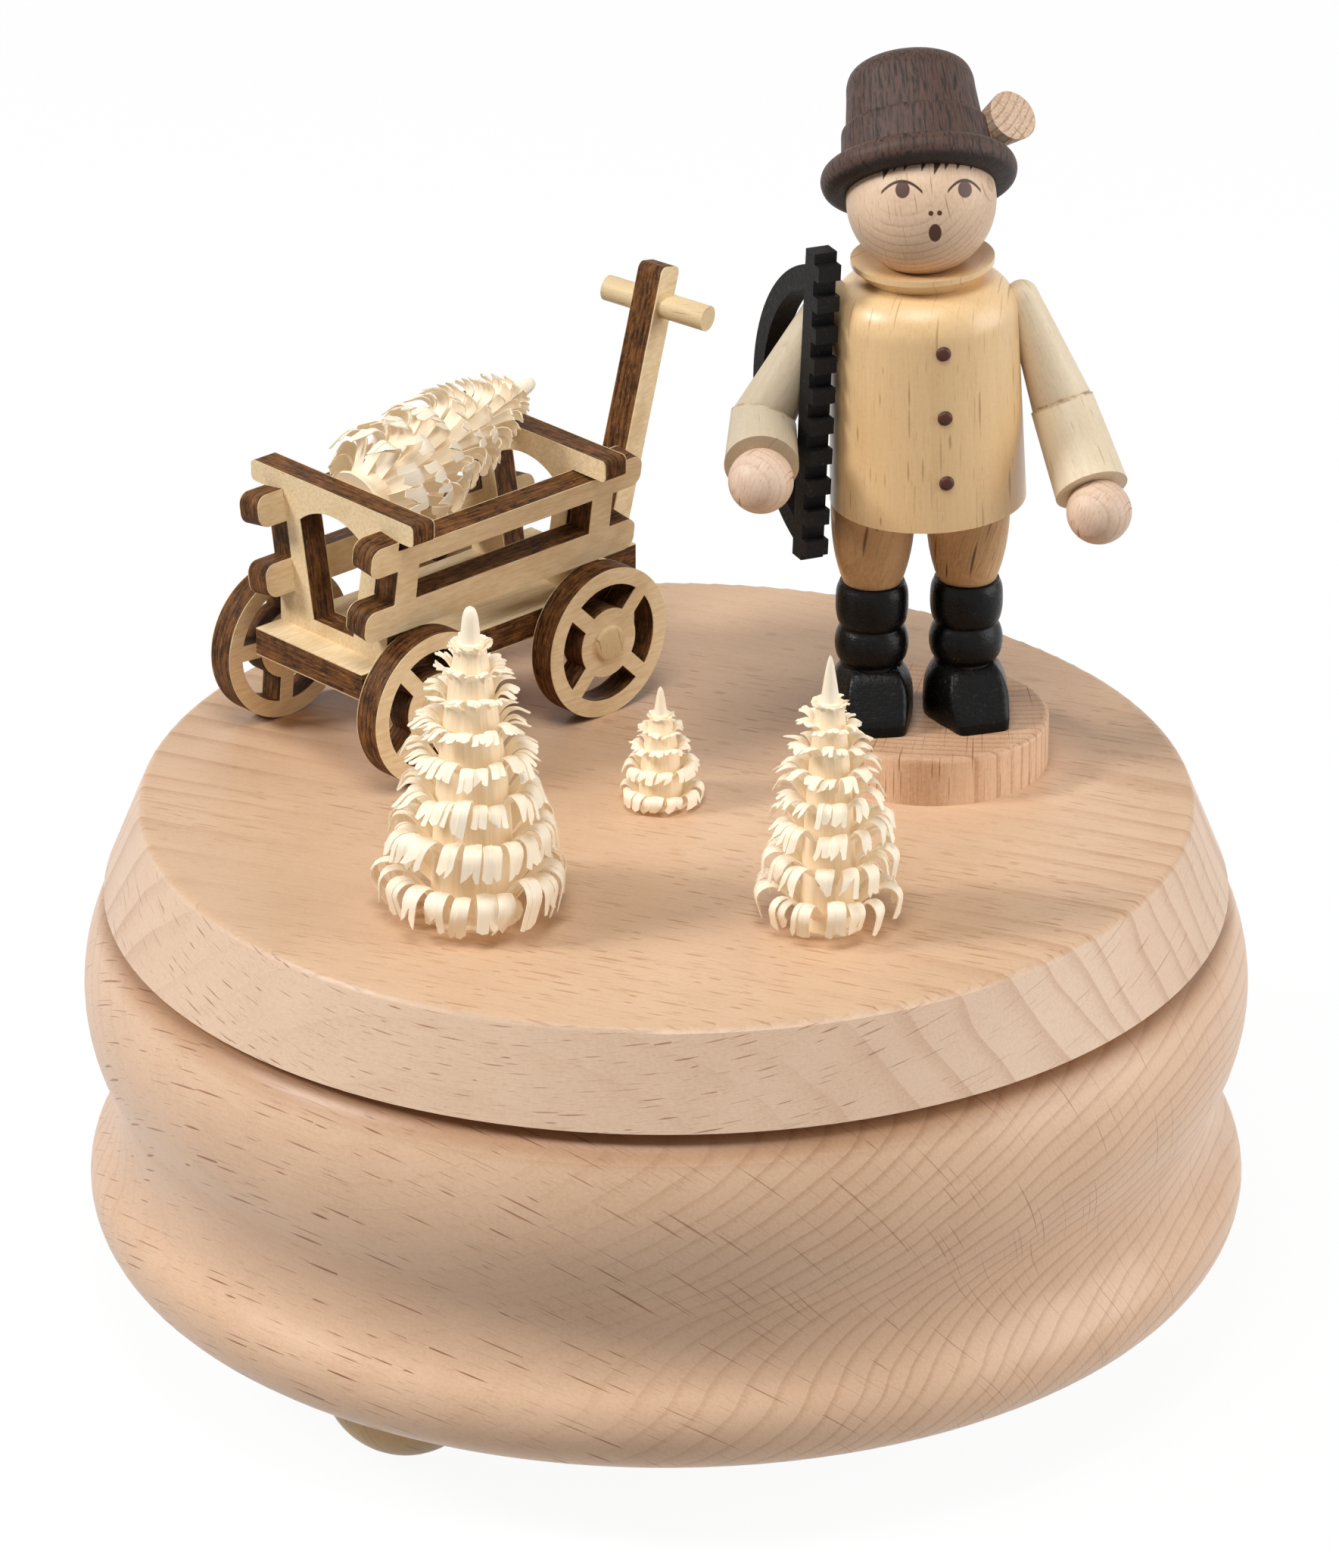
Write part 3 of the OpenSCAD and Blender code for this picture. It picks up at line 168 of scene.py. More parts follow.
class Look:
    """A material in the making. add() puts in a node, and coat() feeds the shader."""

    def __init__(self, name):
        self.material = bpy.data.materials.new(name)
        self.material.use_nodes = True
        self.tree = self.material.node_tree
        self.shader = self.tree.nodes["Principled BSDF"]
        self.point = self.add("TexCoord", out="Object")

    def feed(self, socket, value):
        """Links a field to a socket, or sets the socket to a constant."""
        if isinstance(value, Field):
            self.tree.links.new(value.socket, socket)
        elif socket.type == "RGBA":
            socket.default_value = (*value[:3], 1)
        else:
            socket.default_value = value

    def add(self, kind, settings=None, inputs=None, out=0):
        """A node with those settings and inputs; returns one of its outputs."""
        node = self.tree.nodes.new("ShaderNode" + kind)
        for key, value in (settings or {}).items():
            setattr(node, key, value)
        for key, value in (inputs or {}).items():
            self.feed(node.inputs[key], value)
        return Field(self, node.outputs[out])

    def axes(self, origin, matrix):
        """Coordinates in millimetres along the columns of matrix, counted from origin."""
        away = self.add("VectorMath", {"operation": "SUBTRACT"}, {0: self.point, 1: MM * np.asarray(origin)})
        return [self.add("VectorMath", {"operation": "DOT_PRODUCT"}, {0: away, 1: axis / MM}, out="Value")
                for axis in np.asarray(matrix).T]

    def vector(self, *fields):
        """Three fields as one vector."""
        return self.add("CombineXYZ", None, dict(enumerate(fields)))

    def noise(self, vector, scale=1.0, detail=2.0, rough=0.5):
        """Noise about 0.5; scale is in cells per unit of the vector."""
        return self.add("TexNoise", None, {"Vector": vector, "Scale": scale, "Detail": detail, "Roughness": rough})

    def mix(self, factor, a, b, blend="MIX"):
        """Colour a where the factor is 0, and b, or the blend of both, where it is 1."""
        return self.add("Mix", {"data_type": "RGBA", "blend_type": blend}, {0: factor, 6: a, 7: b}, out=2)

    def stained(self, factor, colour, stain):
        """The colour, multiplied by stain where the factor is 1."""
        return self.mix(factor, colour, self.mix(1.0, colour, stain, "MULTIPLY"))

    def coat(self, colour, rough, height=None, relief=0.03, **constants):
        """Feeds colour, roughness and a bump of that relief in millimetres, and sets the rest."""
        self.feed(self.shader.inputs["Base Color"], colour)
        self.feed(self.shader.inputs["Roughness"], rough)
        if height is not None:
            bump = self.add("Bump", None, {"Height": height, "Distance": relief * MM, "Strength": 1.0})
            self.feed(self.shader.inputs["Normal"], bump)
        for key, value in constants.items():
            self.shader.inputs[key.replace("_", " ")].default_value = value
        return self.material


def flecks_of(look, at, size, half):
    """Small lenses at random places. at: three coordinates in millimetres, size: their mean distances,
    half: their greatest half lengths. Returns 0 to 1; most lenses are faint and short."""
    cell = look.vector(*(a / s for a, s in zip(at, size)))
    spots = {"Vector": cell, "Scale": 1.0, "Randomness": 1.0}
    place = look.add("TexVoronoi", None, spots, out="Position")
    off = look.add("SeparateXYZ", None, {0: look.add("VectorMath", {"operation": "SUBTRACT"}, {0: cell, 1: place})})
    dice = look.add("SeparateColor", None, {0: look.add("TexVoronoi", None, spots, out="Color")})
    first, second = dice, dice.sibling(1)
    long = off * size[0] / (half[0] * (first * 0.8 + 0.2))
    side = off.sibling(1) * size[1] / (half[1] * (second * 0.7 + 0.3))
    deep = off.sibling(2) * size[2] / (half[2] * (first * 0.6 + 0.4))
    near = abs(side) + long * long + deep * deep
    return near.step(1.1, 0.3) * (second * 0.65 + 0.35)


def timber(look, origin, matrix, ring, pith, ends, wander, dash, girth, fine):
    """Grain of a trunk. Columns of matrix: along the fibres, and two across them; pith is the trunk's centre on
    the latter two. Rings are shells of equal distance from the pith. Rays are thin lenses that lie along the fibres
    and out from the pith, so they show as dashes along the grain and as long lines on end grain, which begins
    between the two distances of ends. Returns ring line, phase, rays, fibre streaks and end grain, each 0 to 1."""
    x, a, b = look.axes(origin, matrix)
    a, b = a - pith[0], b - pith[1]
    wave = look.noise(look.vector(x * 0.016, a * 0.06, b * 0.06), 1, 2)
    out = (a * a + b * b).math("SQRT") + (wave - 0.5) * (2 * wander * ring)
    along = a.math("ARCTAN2", b) * (girth or float(np.hypot(*pith)))
    uneven = out + (look.noise(look.vector(out * 0.13, 0.5, 0.5), 1, 1) - 0.5) * (2.4 * ring)
    phase = (uneven / ring).math("FRACT")
    line = phase.step(0.62, 0.95) * phase.step(1.0, 0.96)
    end = abs(x).step(*ends) if ends else x * 0
    large = flecks_of(look, (x, along, out), (3.2 * dash, 0.95 * fine, 8 * dash),
                      (2.4 * dash, 0.12 * fine, 5 * dash))
    small = flecks_of(look, (x, along, out), (1.6 * dash, 0.42 * fine, 2.6 * dash),
                      (1.0 * dash, 0.055 * fine, 1.4 * dash))
    fibre = look.noise(look.vector(x * 0.16, along * 5.5, out * 5.5), 1, 3, 0.65)
    return line, phase, (large + small * 0.45).math("MINIMUM", 1.0), fibre, end


def wood(name, origin, matrix, ring, pith, light, dark, fleck, *, lines=(0.03, 0.42), rise=(0.04, 0.12), rays=0.9,
         streak=0.16, rough=0.42, ends=None, wander=0.8, dash=1.0, girth=None, fine=1.0,
         bare=None, tint=None, relief=0.03, **constants):
    """Timber of two tones with ray flecks. lines and rise: strength of the ring lines and of the tone that grows
    towards them, each along the grain and on end grain. tint(look, colour) may lay paint or a second tone over it;
    bare(look) is the share by which the flecks fade; girth is the distance from the pith to most of the piece;
    dash and fine scale the flecks along the grain and across it."""
    look = Look(name)
    line, phase, ray, fibre, end = timber(look, origin, matrix, ring, pith, ends, wander, dash, girth, fine)
    if bare:
        ray = ray * (1 - bare(look))
    blotch = look.noise(look.point, 130.0, 2)
    pore = look.noise(look.point, 3200.0, 2)
    ringed = line * (end * (lines[1] - lines[0]) + lines[0]) + phase * phase * (end * (rise[1] - rise[0]) + rise[0])
    shade = ringed + (blotch - 0.5) * 0.5 + (fibre - 0.5) * (4 * streak) + (pore - 0.5) * 0.5
    colour = look.mix(shade.step(-0.35, 1.0), light, dark)
    colour = look.mix(ray * (1 - end * 0.45) * rays, colour, fleck)
    if tint:
        colour = tint(look, colour)
    height = 1 - ray * 0.35 - line * 0.15 + (fibre - 0.5) * 0.6
    return look.coat(colour, (fibre - 0.5) * 0.2 + rough, height, relief, **{"Specular_IOR_Level": 0.25, **constants})


# Pieces

def piece(name, points, faces, material, body, nodes=(), slot=None, sharp=None, silk=None):
    """A mesh in millimetres at the origin, riding on a body. Edges past the angle sharp stay sharp; silk holds
    three numbers per point for the material, which reads them as an attribute."""
    mesh = bpy.data.meshes.new(name)
    mesh.from_pydata((np.asarray(points) * MM).tolist(), [], [list(f) for f in faces])
    mesh.shade_smooth()
    if sharp:
        mesh.set_sharp_from_angle(angle=np.radians(sharp))
    if silk is not None:
        mesh.attributes.new("silk", "FLOAT_VECTOR", "POINT").data.foreach_set("vector", silk.astype("f").ravel())
    mesh.materials.append(material)
    obj = bpy.data.objects.new(name, mesh)
    bpy.context.scene.collection.objects.link(obj)
    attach(obj, body)
    if nodes:
        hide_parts(*nodes)
    return obj


def strips(points):
    """Closed strips from an array (strips, rows, ring, 3): quads round each strip, and a fan quad at both ends."""
    count, rows, ring = points.shape[:3]
    index = np.arange(count * rows * ring).reshape(count, rows, ring)
    here, above = index[:, :-1], index[:, 1:]
    quads = np.stack([here, np.roll(here, -1, 2), np.roll(above, -1, 2), above], -1).reshape(-1, 4)
    half = ring // 2
    low = np.stack([index[:, 0, :half - 1], index[:, 0, ::-1][:, :half - 1],
                    index[:, 0, ::-1][:, 1:half], index[:, 0, 1:half]], -1).reshape(-1, 4)
    high = np.stack([index[:, -1, :half - 1], index[:, -1, 1:half],
                     index[:, -1, ::-1][:, 1:half], index[:, -1, ::-1][:, :half - 1]], -1).reshape(-1, 4)
    return points.reshape(-1, 3), np.concatenate([quads, low, high])


def skin(rim):
    """Surface over an array (rows, around, 3) whose first and last rows are rings of nearly no size."""
    index = np.arange(rim.size // 3).reshape(rim.shape[:2])
    here, above = index[:-1], index[1:]
    quads = np.stack([here, np.roll(here, -1, 1), np.roll(above, -1, 1), above], -1).reshape(-1, 4)
    return rim.reshape(-1, 3), quads


def lathe(profile, count=96, flute=0.0, teeth=1):
    """Surface of revolution about Z from (radius, height) rows that run up the outside and end next to the axis.
    flute is the share by which the radius falls between the teeth."""
    profile = np.asarray(profile, float)
    angle = np.linspace(0, 2 * np.pi, count, endpoint=False)
    radius = profile[:, :1] * (1 - flute * np.abs(np.sin(angle * teeth / 2)))
    level = np.repeat(profile[:, 1:], count, 1)
    return skin(np.stack([radius * np.cos(angle), radius * np.sin(angle), level], -1))


def rounded(profile, steps=8):
    """Points of a smooth curve through the rows of a profile: cubics whose slope at a row is that of the line from
    the row before to the row after."""
    p = np.asarray(profile, float)
    slope = np.gradient(p, axis=0)
    t = np.linspace(0, 1, steps, endpoint=False)[:, None]
    a, b, u, v = p[:-1, None], p[1:, None], slope[:-1, None], slope[1:, None]
    curve = ((2 * t ** 3 - 3 * t ** 2 + 1) * a + (t ** 3 - 2 * t ** 2 + t) * u
             + (3 * t ** 2 - 2 * t ** 3) * b + (t ** 3 - t ** 2) * v)
    return np.concatenate([curve.reshape(-1, 2), p[-1:]])


def joined(*parts):
    """One mesh of several (points, faces) pairs."""
    starts = np.cumsum([0] + [len(q) for q, _ in parts[:-1]])
    return np.concatenate([q for q, _ in parts]), np.concatenate([f + k for (_, f), k in zip(parts, starts)])


def shaved_tree(h, core, tip, reach, tiers, n, seed, spike, lift, droop, tear, slim, taper, thick=0.09):
    """Points, faces and silk numbers of a tree with shaved curls, foot at the origin and top along +Z.

    A ribbon leaves the core straight at the slope start, bends over in an arc from s1 to s2 of its length, and goes
    on straight at the slope end: low tiers roll over and hang, high tiers stand out like cups. It widens and sweeps
    aside on its way, is slit in two near its end, and each half tears to a point. lift and droop: start and end in
    degrees at the foot, and what they gain up to the top. The reach falls by slim[0] t + slim[1] t ** slim[2] up the
    tree; spike is the share of the height where the core ends, and taper how much the point over it narrows.
    core and tip are the core's radii, tear the longest tear's share of a ribbon, and n the ribbons in each tier.
    Axes of the arrays: tier, ribbon, half, row along, place across.
    """
    draw = np.random.default_rng(seed)
    one, pair = (tiers, n, 1, 1, 1), (tiers, n, 2, 1, 1)
    normal = lambda size, shape=one: size * draw.standard_normal(shape).clip(-1.8, 1.8)
    t = (np.arange(tiers) / (tiers - 1)).reshape(-1, 1, 1, 1, 1)
    crest = spike * h * (0.175 + 1.235 * t - 0.41 * t ** 2) + normal(0.007 * h)
    root = core - (core - tip) * (crest / (spike * h)) ** 2
    start = np.radians(lift[0] + lift[1] * t + normal(5))
    end = np.radians(droop[0] + droop[1] * t + normal(11))
    s1, s2, bend = 0.38, 0.75, start - end
    flat = s1 * np.cos(start) + (s2 - s1) / bend * (np.sin(start) - np.sin(np.maximum(end, -np.pi / 2)))
    span = reach * (1 - slim[0] * t - slim[1] * t ** slim[2]) - root
    length = span / (flat + (1 - s2) * np.maximum(np.cos(end), 0)) * (1 + normal(0.08)) * (1 + normal(0.03, pair))
    top = s1 * np.sin(start) + (s2 - s1) / bend * (np.cos(np.maximum(end, 0)) - np.cos(start))
    z = crest - span / flat * top * 0.9
    s = np.linspace(0, 1, 18).reshape(1, 1, 1, -1, 1)
    cut = draw.uniform(-0.4, 0.4, one)
    low, high = np.concatenate([0 * cut - 1, cut], 2), np.concatenate([cut, 0 * cut + 1], 2)
    u = low + (high - low) * np.array([0, 0.5, 1])
    peak = low + (high - low) * draw.uniform(0.1, 0.9, pair)
    share = s * (1 - draw.uniform(0.04, tear, pair) * np.abs(u - peak) * s ** 5)
    apart = np.array([-1, 1]).reshape(1, 1, 2, 1, 1)
    slit = apart * draw.uniform(0.0, 0.22, one) * np.clip((s - 0.7) / 0.3, 0, 1) ** 2
    arc = np.clip(share, s1, s2)
    slope = start - bend * (arc - s1) / (s2 - s1)
    lead, tail = np.minimum(share, s1), np.maximum(share - s2, 0)
    curl = (s2 - s1) / bend
    out = root + length * (lead * np.cos(start) + curl * (np.sin(start) - np.sin(slope)) + tail * np.cos(end))
    up = z + length * (lead * np.sin(start) + curl * (np.cos(slope) - np.cos(start)) + tail * np.sin(end))
    wide = np.pi / n * root * (1.04 + 0.5 * np.clip(s / 0.6, 0, 1) ** 1.5) * (1 + normal(0.1))
    aside = (u + slit) * wide
    roll = normal(0.22) * s ** 2
    angle = ((np.arange(n).reshape(1, -1, 1, 1, 1) + normal(0.1)) * 2 * np.pi / n
             + draw.uniform(0, 6.28, (tiers, 1, 1, 1, 1)) - (0.13 + normal(0.05)) * share ** 1.4)
    shape = np.broadcast_shapes(out.shape, aside.shape, angle.shape)
    out, up, aside, angle, slope, roll, wide, u, share = (
        np.broadcast_to(f, shape)[..., None] for f in (out, up, aside, angle, slope, roll, wide, u, share))
    radial = np.concatenate([np.cos(angle), np.sin(angle), 0 * angle], -1)
    across = np.concatenate([-np.sin(angle), np.cos(angle), 0 * angle], -1)
    face = Z * np.cos(slope) - radial * np.sin(slope)
    spine = (radial * out + Z * np.maximum(up, 0.15) + across * aside * np.cos(roll)
             + face * (aside * np.sin(roll) + 0.12 * wide * (1 - u * u)))
    ring = np.concatenate([spine - face * thick / 2, (spine + face * thick / 2)[..., ::-1, :]], -2)
    which = np.arange(n).reshape(1, -1, 1, 1, 1, 1)
    silk = np.concatenate([share * 4, u * 3 + 7 * which + 0 * share, 0 * share], -1)
    silk = np.concatenate([silk, silk[..., ::-1, :]], -2).reshape(-1, 3)
    ribbons, faces = strips(ring.reshape(-1, s.size, 6, 3))

    rise = np.linspace(0, spike, 60)[1:]
    body = np.stack([core - (core - tip) * (rise / spike) ** 2, rise * h], -1)
    point = np.linspace(0, 1, 14)[:, None]
    bullet = np.concatenate([0.72 * tip * (1 - taper * point) * (1 - point ** 6) ** 0.5 + POINT,
                             h * (spike + 0.002 + (0.998 - spike) * point)], 1)
    foot = [[POINT, 0], [core + 0.6, 0], [core + 0.65, 0.2], [core + 0.6, 0.35], [core + 0.05, 0.4]]
    stem, quads = lathe(np.concatenate([foot, body, bullet]), 8 * n, 0.015, n)
    about = np.arctan2(stem[:, 1], stem[:, 0])
    grain = np.stack([stem[:, 2] * 0.3, np.abs(about) * 5, 1.0 * (stem[:, 2] < (spike + 0.001) * h)], -1)
    points, quads = joined((ribbons, faces), (stem, quads))
    return points, quads, np.concatenate([silk, grain])


# Materials

EARLY, LATE, RAY = (0.80, 0.58, 0.415), (0.58, 0.36, 0.23), (0.29, 0.10, 0.035)
WARM_EARLY, WARM_LATE = (0.81, 0.545, 0.36), (0.57, 0.325, 0.185)
BASE_FIBRE, PLATE_FIBRE = -40, -22


def across_fibre(azimuth):
    """Columns: a level fibre at that azimuth, the level direction left of it, and up."""
    m = turn(2, azimuth)
    return np.stack([m[:, 0], m[:, 1], Z], -1)


def height_over(look, level):
    """Height in millimetres over that level."""
    return look.axes((0, 0, level), UNTURNED)[2]


def plate_top(look):
    """0.7 on the plate's flat top, 0 on its bevel."""
    return height_over(look, PLATE_TOP).step(-0.5, -0.05) * 0.7


def plate_tone(look, colour):
    """The sanded top is darker and warmer than the bevel, and shows its flecks as short dashes in patches."""
    x, a, _ = look.axes((0, 0, PLATE_TOP), across_fibre(PLATE_FIBRE))
    dash = flecks_of(look, (x, a, x * 0), (4.2, 1.15, 1.0), (2.3, 0.2, 9.0))
    patch = look.noise(look.vector(x * 0.03, a * 0.07, 0.5), 1, 1).step(0.35, 0.62)
    toned = look.stained(plate_top(look), colour, (0.82, 0.735, 0.615))
    return look.mix(plate_top(look) * dash * patch, toned, (0.40, 0.19, 0.08))


def base_tone(look, colour):
    """The rounded edge is darker under the plate, since the lights alone leave the shadow there too pale."""
    edge = height_over(look, BASE_TOP).step(-3.0, -0.7)
    return look.stained(edge * 0.85, colour, (0.50, 0.37, 0.25))


base_beech = wood("base_beech", (0, 0, 0), across_fibre(BASE_FIBRE), 1.5, (20, -33), WARM_EARLY, WARM_LATE, RAY,
                  lines=(0.03, 0.4), ends=(20, 46), girth=75, rays=1.0, dash=1.25, fine=0.8, tint=base_tone,
                  Coat_Weight=0.3, Coat_Roughness=0.32)
plate_beech = wood("plate_beech", (0, 0, PLATE_TOP - 4), across_fibre(PLATE_FIBRE), 3.8, (-127, -25), EARLY, LATE,
                   RAY, lines=(0.05, 0.3), rise=(0.05, 0.3), ends=(24, 46), rays=0.75, dash=0.7, tint=plate_tone,
                   bare=plate_top, Coat_Weight=0.12, Coat_Roughness=0.3)
UPRIGHT = framed(Z)


def stand_tone(look, colour):
    """The stand's top is greyer than its rim."""
    top = height_over(look, STAND_TOP).step(-0.5, -0.1)
    return look.stained(top, colour, (0.73, 0.66, 0.60))


stand_beech = wood("stand_beech", node_middle("figure_stand"), UPRIGHT, 1.0, (6, 42), (0.86, 0.60, 0.41),
                   (0.50, 0.28, 0.155), RAY, lines=(0.4, 0.4), rise=(0.15, 0.15), streak=0.2, wander=0.5, fine=0.6,
                   relief=0.015, tint=stand_tone)
coat_wood = wood("coat_wood", node_middle("coat"), framed(TRUNK_TURN[:, 2]), 2.4, (10, 26), (0.82, 0.56, 0.29),
                 (0.62, 0.39, 0.17), (0.30, 0.14, 0.05), lines=(0.1, 0.1), rough=0.32, dash=1.1, rays=0.6,
                 Coat_Weight=0.55, Coat_Roughness=0.36)

FACE = turn(0, VIEW_DOWN)
STROKE, IRIS, LIPS = (0.055, 0.022, 0.013), (0.105, 0.055, 0.046), (0.075, 0.027, 0.016)
LIDS_AND_EYES = ((((-3.62, 0.19), (-1.86, 1.10), (-0.12, 0.13)), (-1.82, 0.36)),
                 (((2.12, 0.22), (3.61, 1.26), (5.02, 0.44)), (3.62, 0.46)))
EYE_HALF = (0.62, 0.74)
NOSTRILS_AND_MOUTH = (((0.64, -1.69), (0.22, 0.22)), ((1.40, -1.65), (0.22, 0.22)), ((1.03, -3.32), (0.56, 0.74)))
FRINGE = ((-3.5, 1.25), (-2.6, 1.9), (-1.7, 1.95), (-0.2, 1.9), (0.9, 1.6), (1.85, 2.05), (2.9, 2.1), (4.1, 2.15))


def face_paint(look, colour):
    """Eyes under their lids, nostrils, a round mouth and the fringe under the brim, in the plane that the face looks
    out of: u to the right, v up, in millimetres from the head's centre. A lid is the parabola through its three
    points, and a lock of the fringe widens upwards from its foot."""
    u, depth, v = look.axes(HEAD, FACE)
    front = depth.step(-1.0, -2.0)

    def paint(mask, tone):
        nonlocal colour
        colour = look.mix(mask * front, colour, tone)

    def oval(place, half):
        x, y = (u - place[0]) / half[0], (v - place[1]) / half[1]
        return (x * x + y * y).step(1.15, 0.85)

    for points, iris in LIDS_AND_EYES:
        (left, _), _, (right, _) = points
        square, slope, level = np.polyfit(*np.transpose(points), 2)
        lid = v - u * u * square - u * slope - level
        paint(oval(iris, EYE_HALF) * lid.step(0.02, -0.06), IRIS)
        paint(abs(lid).step(0.19, 0.09) * u.step(left - 0.1, left + 0.05) * u.step(right + 0.1, right - 0.05), STROKE)
    for place, half in NOSTRILS_AND_MOUTH:
        paint(oval(place, half), LIPS)
    for foot, start in FRINGE:
        rise = v - start
        paint((abs(u - foot - rise * 0.3) - rise * 0.3).step(0.05, -0.05) * rise.step(0.0, 0.1), STROKE)
    return colour


head_wood = wood("head_wood", HEAD, framed(-Y - 0.9 * Z), 0.75, (-12, 40), (0.76, 0.55, 0.385), (0.44, 0.27, 0.16),
                 (0.25, 0.125, 0.065), lines=(0.08, 0.3), rays=0.7, ends=(2.6, 5.6), dash=0.6, fine=0.6, wander=0.5,
                 tint=face_paint)


def hat_painted_shade(look, colour):
    """Painted shade under the brim and in the groove over it: the colour there is drawn much darker."""
    across, deep, height = look.axes(HAT_SEAT, HAT_TURN)
    low = (height - HAT_LIFT).step(0.35, -0.2)
    groove_shade = abs(height - HAT_LIFT - 2.05).step(0.55, 0.2) * (across * across + deep * deep).step(62, 56)
    return look.mix(low.math("MAXIMUM", groove_shade) * 0.8, colour, (0.006, 0.004, 0.0035))


hat_wood = wood("hat_wood", node_middle("hat"), framed(HAT_TURN[:, 2]), 1.6, (9, 6), (0.080, 0.041, 0.029),
                (0.010, 0.006, 0.005), (0.004, 0.003, 0.003), streak=1.5, rough=0.5, dash=0.7, relief=0.14,
                tint=hat_painted_shade)
TO_VIEWER, UP_IN_VIEW = turn(0, VIEW_DOWN) @ -Y, turn(0, VIEW_DOWN) @ Z
TUFT = framed(0.78 * X + 0.53 * UP_IN_VIEW + 0.33 * TO_VIEWER, TO_VIEWER)
TUFT_AT = HAT_SEAT + HAT_TURN @ np.array([5.7, 0.6, 5.5])
tuft_wood = wood("tuft_wood", TUFT_AT, framed(TUFT[:, 0] + 0.7 * TUFT[:, 1], Z), 0.7, (9, 3), (0.74, 0.54, 0.39),
                 (0.36, 0.21, 0.125), RAY, lines=(0.5, 0.6), streak=0.5, dash=0.5, relief=0.12)

# Shoulder, elbow and wrist in the woodman's frame
ARMS = {"left": np.array([[8.1, 0.2, 93.248], [11.8, -0.1, 83.148], [13.7, -6.8, 77.448]]),
        "right": np.array([[-8.8, 0.6, 93.948], [-14.75, 0.3, 82.348], [-15.5, -6.0, 80.548]])}


def sleeve(name, shoulder, elbow, wrist, part, tone):
    """Cream sleeve with fibres along it, lighter or darker by the factor tone, which paints light and shade on the
    sleeve; glue has browned the mitre at the elbow, and the cuff's end is tan. part is 0 for the upper arm and 1 for
    the forearm."""
    upper, lower = elbow - shoulder, wrist - elbow
    upper, lower = upper / np.linalg.norm(upper), lower / np.linalg.norm(lower)
    along = (upper, lower)[part]

    def glue(look, colour):
        seam = look.axes(elbow, framed(upper + lower))[0]
        cuff = look.axes(wrist, framed(lower))[0]
        crumb = look.noise(look.point, 900.0, 3, 0.7)
        brown = abs(seam).step(0.32, 0.04) * crumb.step(0.35, 0.6)
        tan = cuff.step(0.45, 0.75) * 0.6
        return look.mix(brown * 0.75, look.mix(tan, colour, (0.62, 0.42, 0.25)), (0.32, 0.19, 0.09))

    return wood(name, elbow, framed(along), 1.5, (8, 12), tone * np.array([0.80, 0.675, 0.49]),
                tone * np.array([0.60, 0.45, 0.28]), (0.40, 0.25, 0.12), rays=0.5, rough=0.42, dash=0.8, tint=glue)


# The tone factors paint light and shade: the left arm a little lighter, the right arm darker.
sleeves = {f"{part}_{side}": sleeve(f"{part}_{side}_wood", *(woodman(q) for q in ARMS[side]), k, tone)
           for side, tone in (("left", 1.02), ("right", 0.78)) for k, part in enumerate(("upper_arm", "forearm"))}
hands = {"hand_" + side: wood(f"hand_{side}_wood", node_middle("hand_" + side), framed(Z + 0.3 * X), 0.7, (7, 11),
                              (0.76, 0.57, 0.43), (0.50, 0.32, 0.21), RAY, lines=(0.25, 0.5), streak=0.3, dash=0.5,
                              ends=(2.2, 3.2)) for side in ARMS}
trouser_wood = wood("trouser_wood", node_middle("leg_left"), framed(Z + 0.25 * X), 1.4, (7, 9), (0.62, 0.385, 0.19),
                    (0.33, 0.18, 0.075), (0.10, 0.045, 0.018), streak=0.34, dash=1.2, relief=0.1)
foot_wood = wood("foot_wood", (0, 0, 0), UPRIGHT, 1.6, (60, 20), (0.78, 0.52, 0.25), (0.54, 0.33, 0.135),
                 (0.18, 0.12, 0.06), rough=0.4)
board_wood = wood("board_wood", (0, 0, 0), across_fibre(10), 3.2, (30, -80), (0.70, 0.52, 0.34), (0.55, 0.37, 0.21),
                  RAY, lines=(0.3, 0.5), ends=(20, 40))
dowel_wood = wood("dowel_wood", CART_AT, CART_TURN[:, [1, 0, 2]], 1.2, (5, 30), (0.78, 0.60, 0.35),
                  (0.55, 0.37, 0.18), (0.35, 0.2, 0.09), dash=0.6)


def plywood(name, thick_axis, centre, half):
    """Laser-cut board: pale faces where the distance from its middle plane nears half its thickness, a thin golden
    scorch beside the cut, and a burnt edge whose ply layers and scorch marks vary from black to amber."""
    look = Look(name)
    deep = look.axes(centre, np.asarray(thick_axis)[:, None])[0]
    x, y, z = look.axes(CART_AT, CART_TURN)
    face = abs(deep).step(half - 0.12, half - 0.03)
    fibre = look.noise(look.vector(x * 0.5, y * 3, z * 3), 1, 4, 0.65)
    pale = look.mix(fibre.step(0.3, 0.75), (0.87, 0.70, 0.45), (0.75, 0.54, 0.30))
    cloud = look.noise(look.vector(x * 0.25, y * 0.25, z * 0.25), 1, 2)
    pale = look.mix(cloud.step(0.5, 0.8) * 0.6, pale, (0.62, 0.42, 0.21))
    char = look.noise(look.vector(x * 0.7, y * 0.7, z * 0.7), 1, 5, 0.75)
    layer = look.noise(look.vector(deep * 3.6, (x + z) * 0.3, y * 0.3), 1, 3, 0.6)
    spark = look.noise(look.vector(deep * 9, (x + z) * 0.9, y * 0.9), 1, 2)
    burnt = look.mix((char * 0.5 + layer * 0.7).step(0.44, 0.82), (0.022, 0.008, 0.003), (0.23, 0.092, 0.027))
    burnt = look.mix(spark.step(0.58, 0.72) * 0.5, burnt, (0.44, 0.215, 0.065))
    return look.coat(look.mix(face, burnt, pale), fibre * 0.2 + 0.48, fibre * face + char * (1 - face), 0.05,
                     Specular_IOR_Level=0.14)


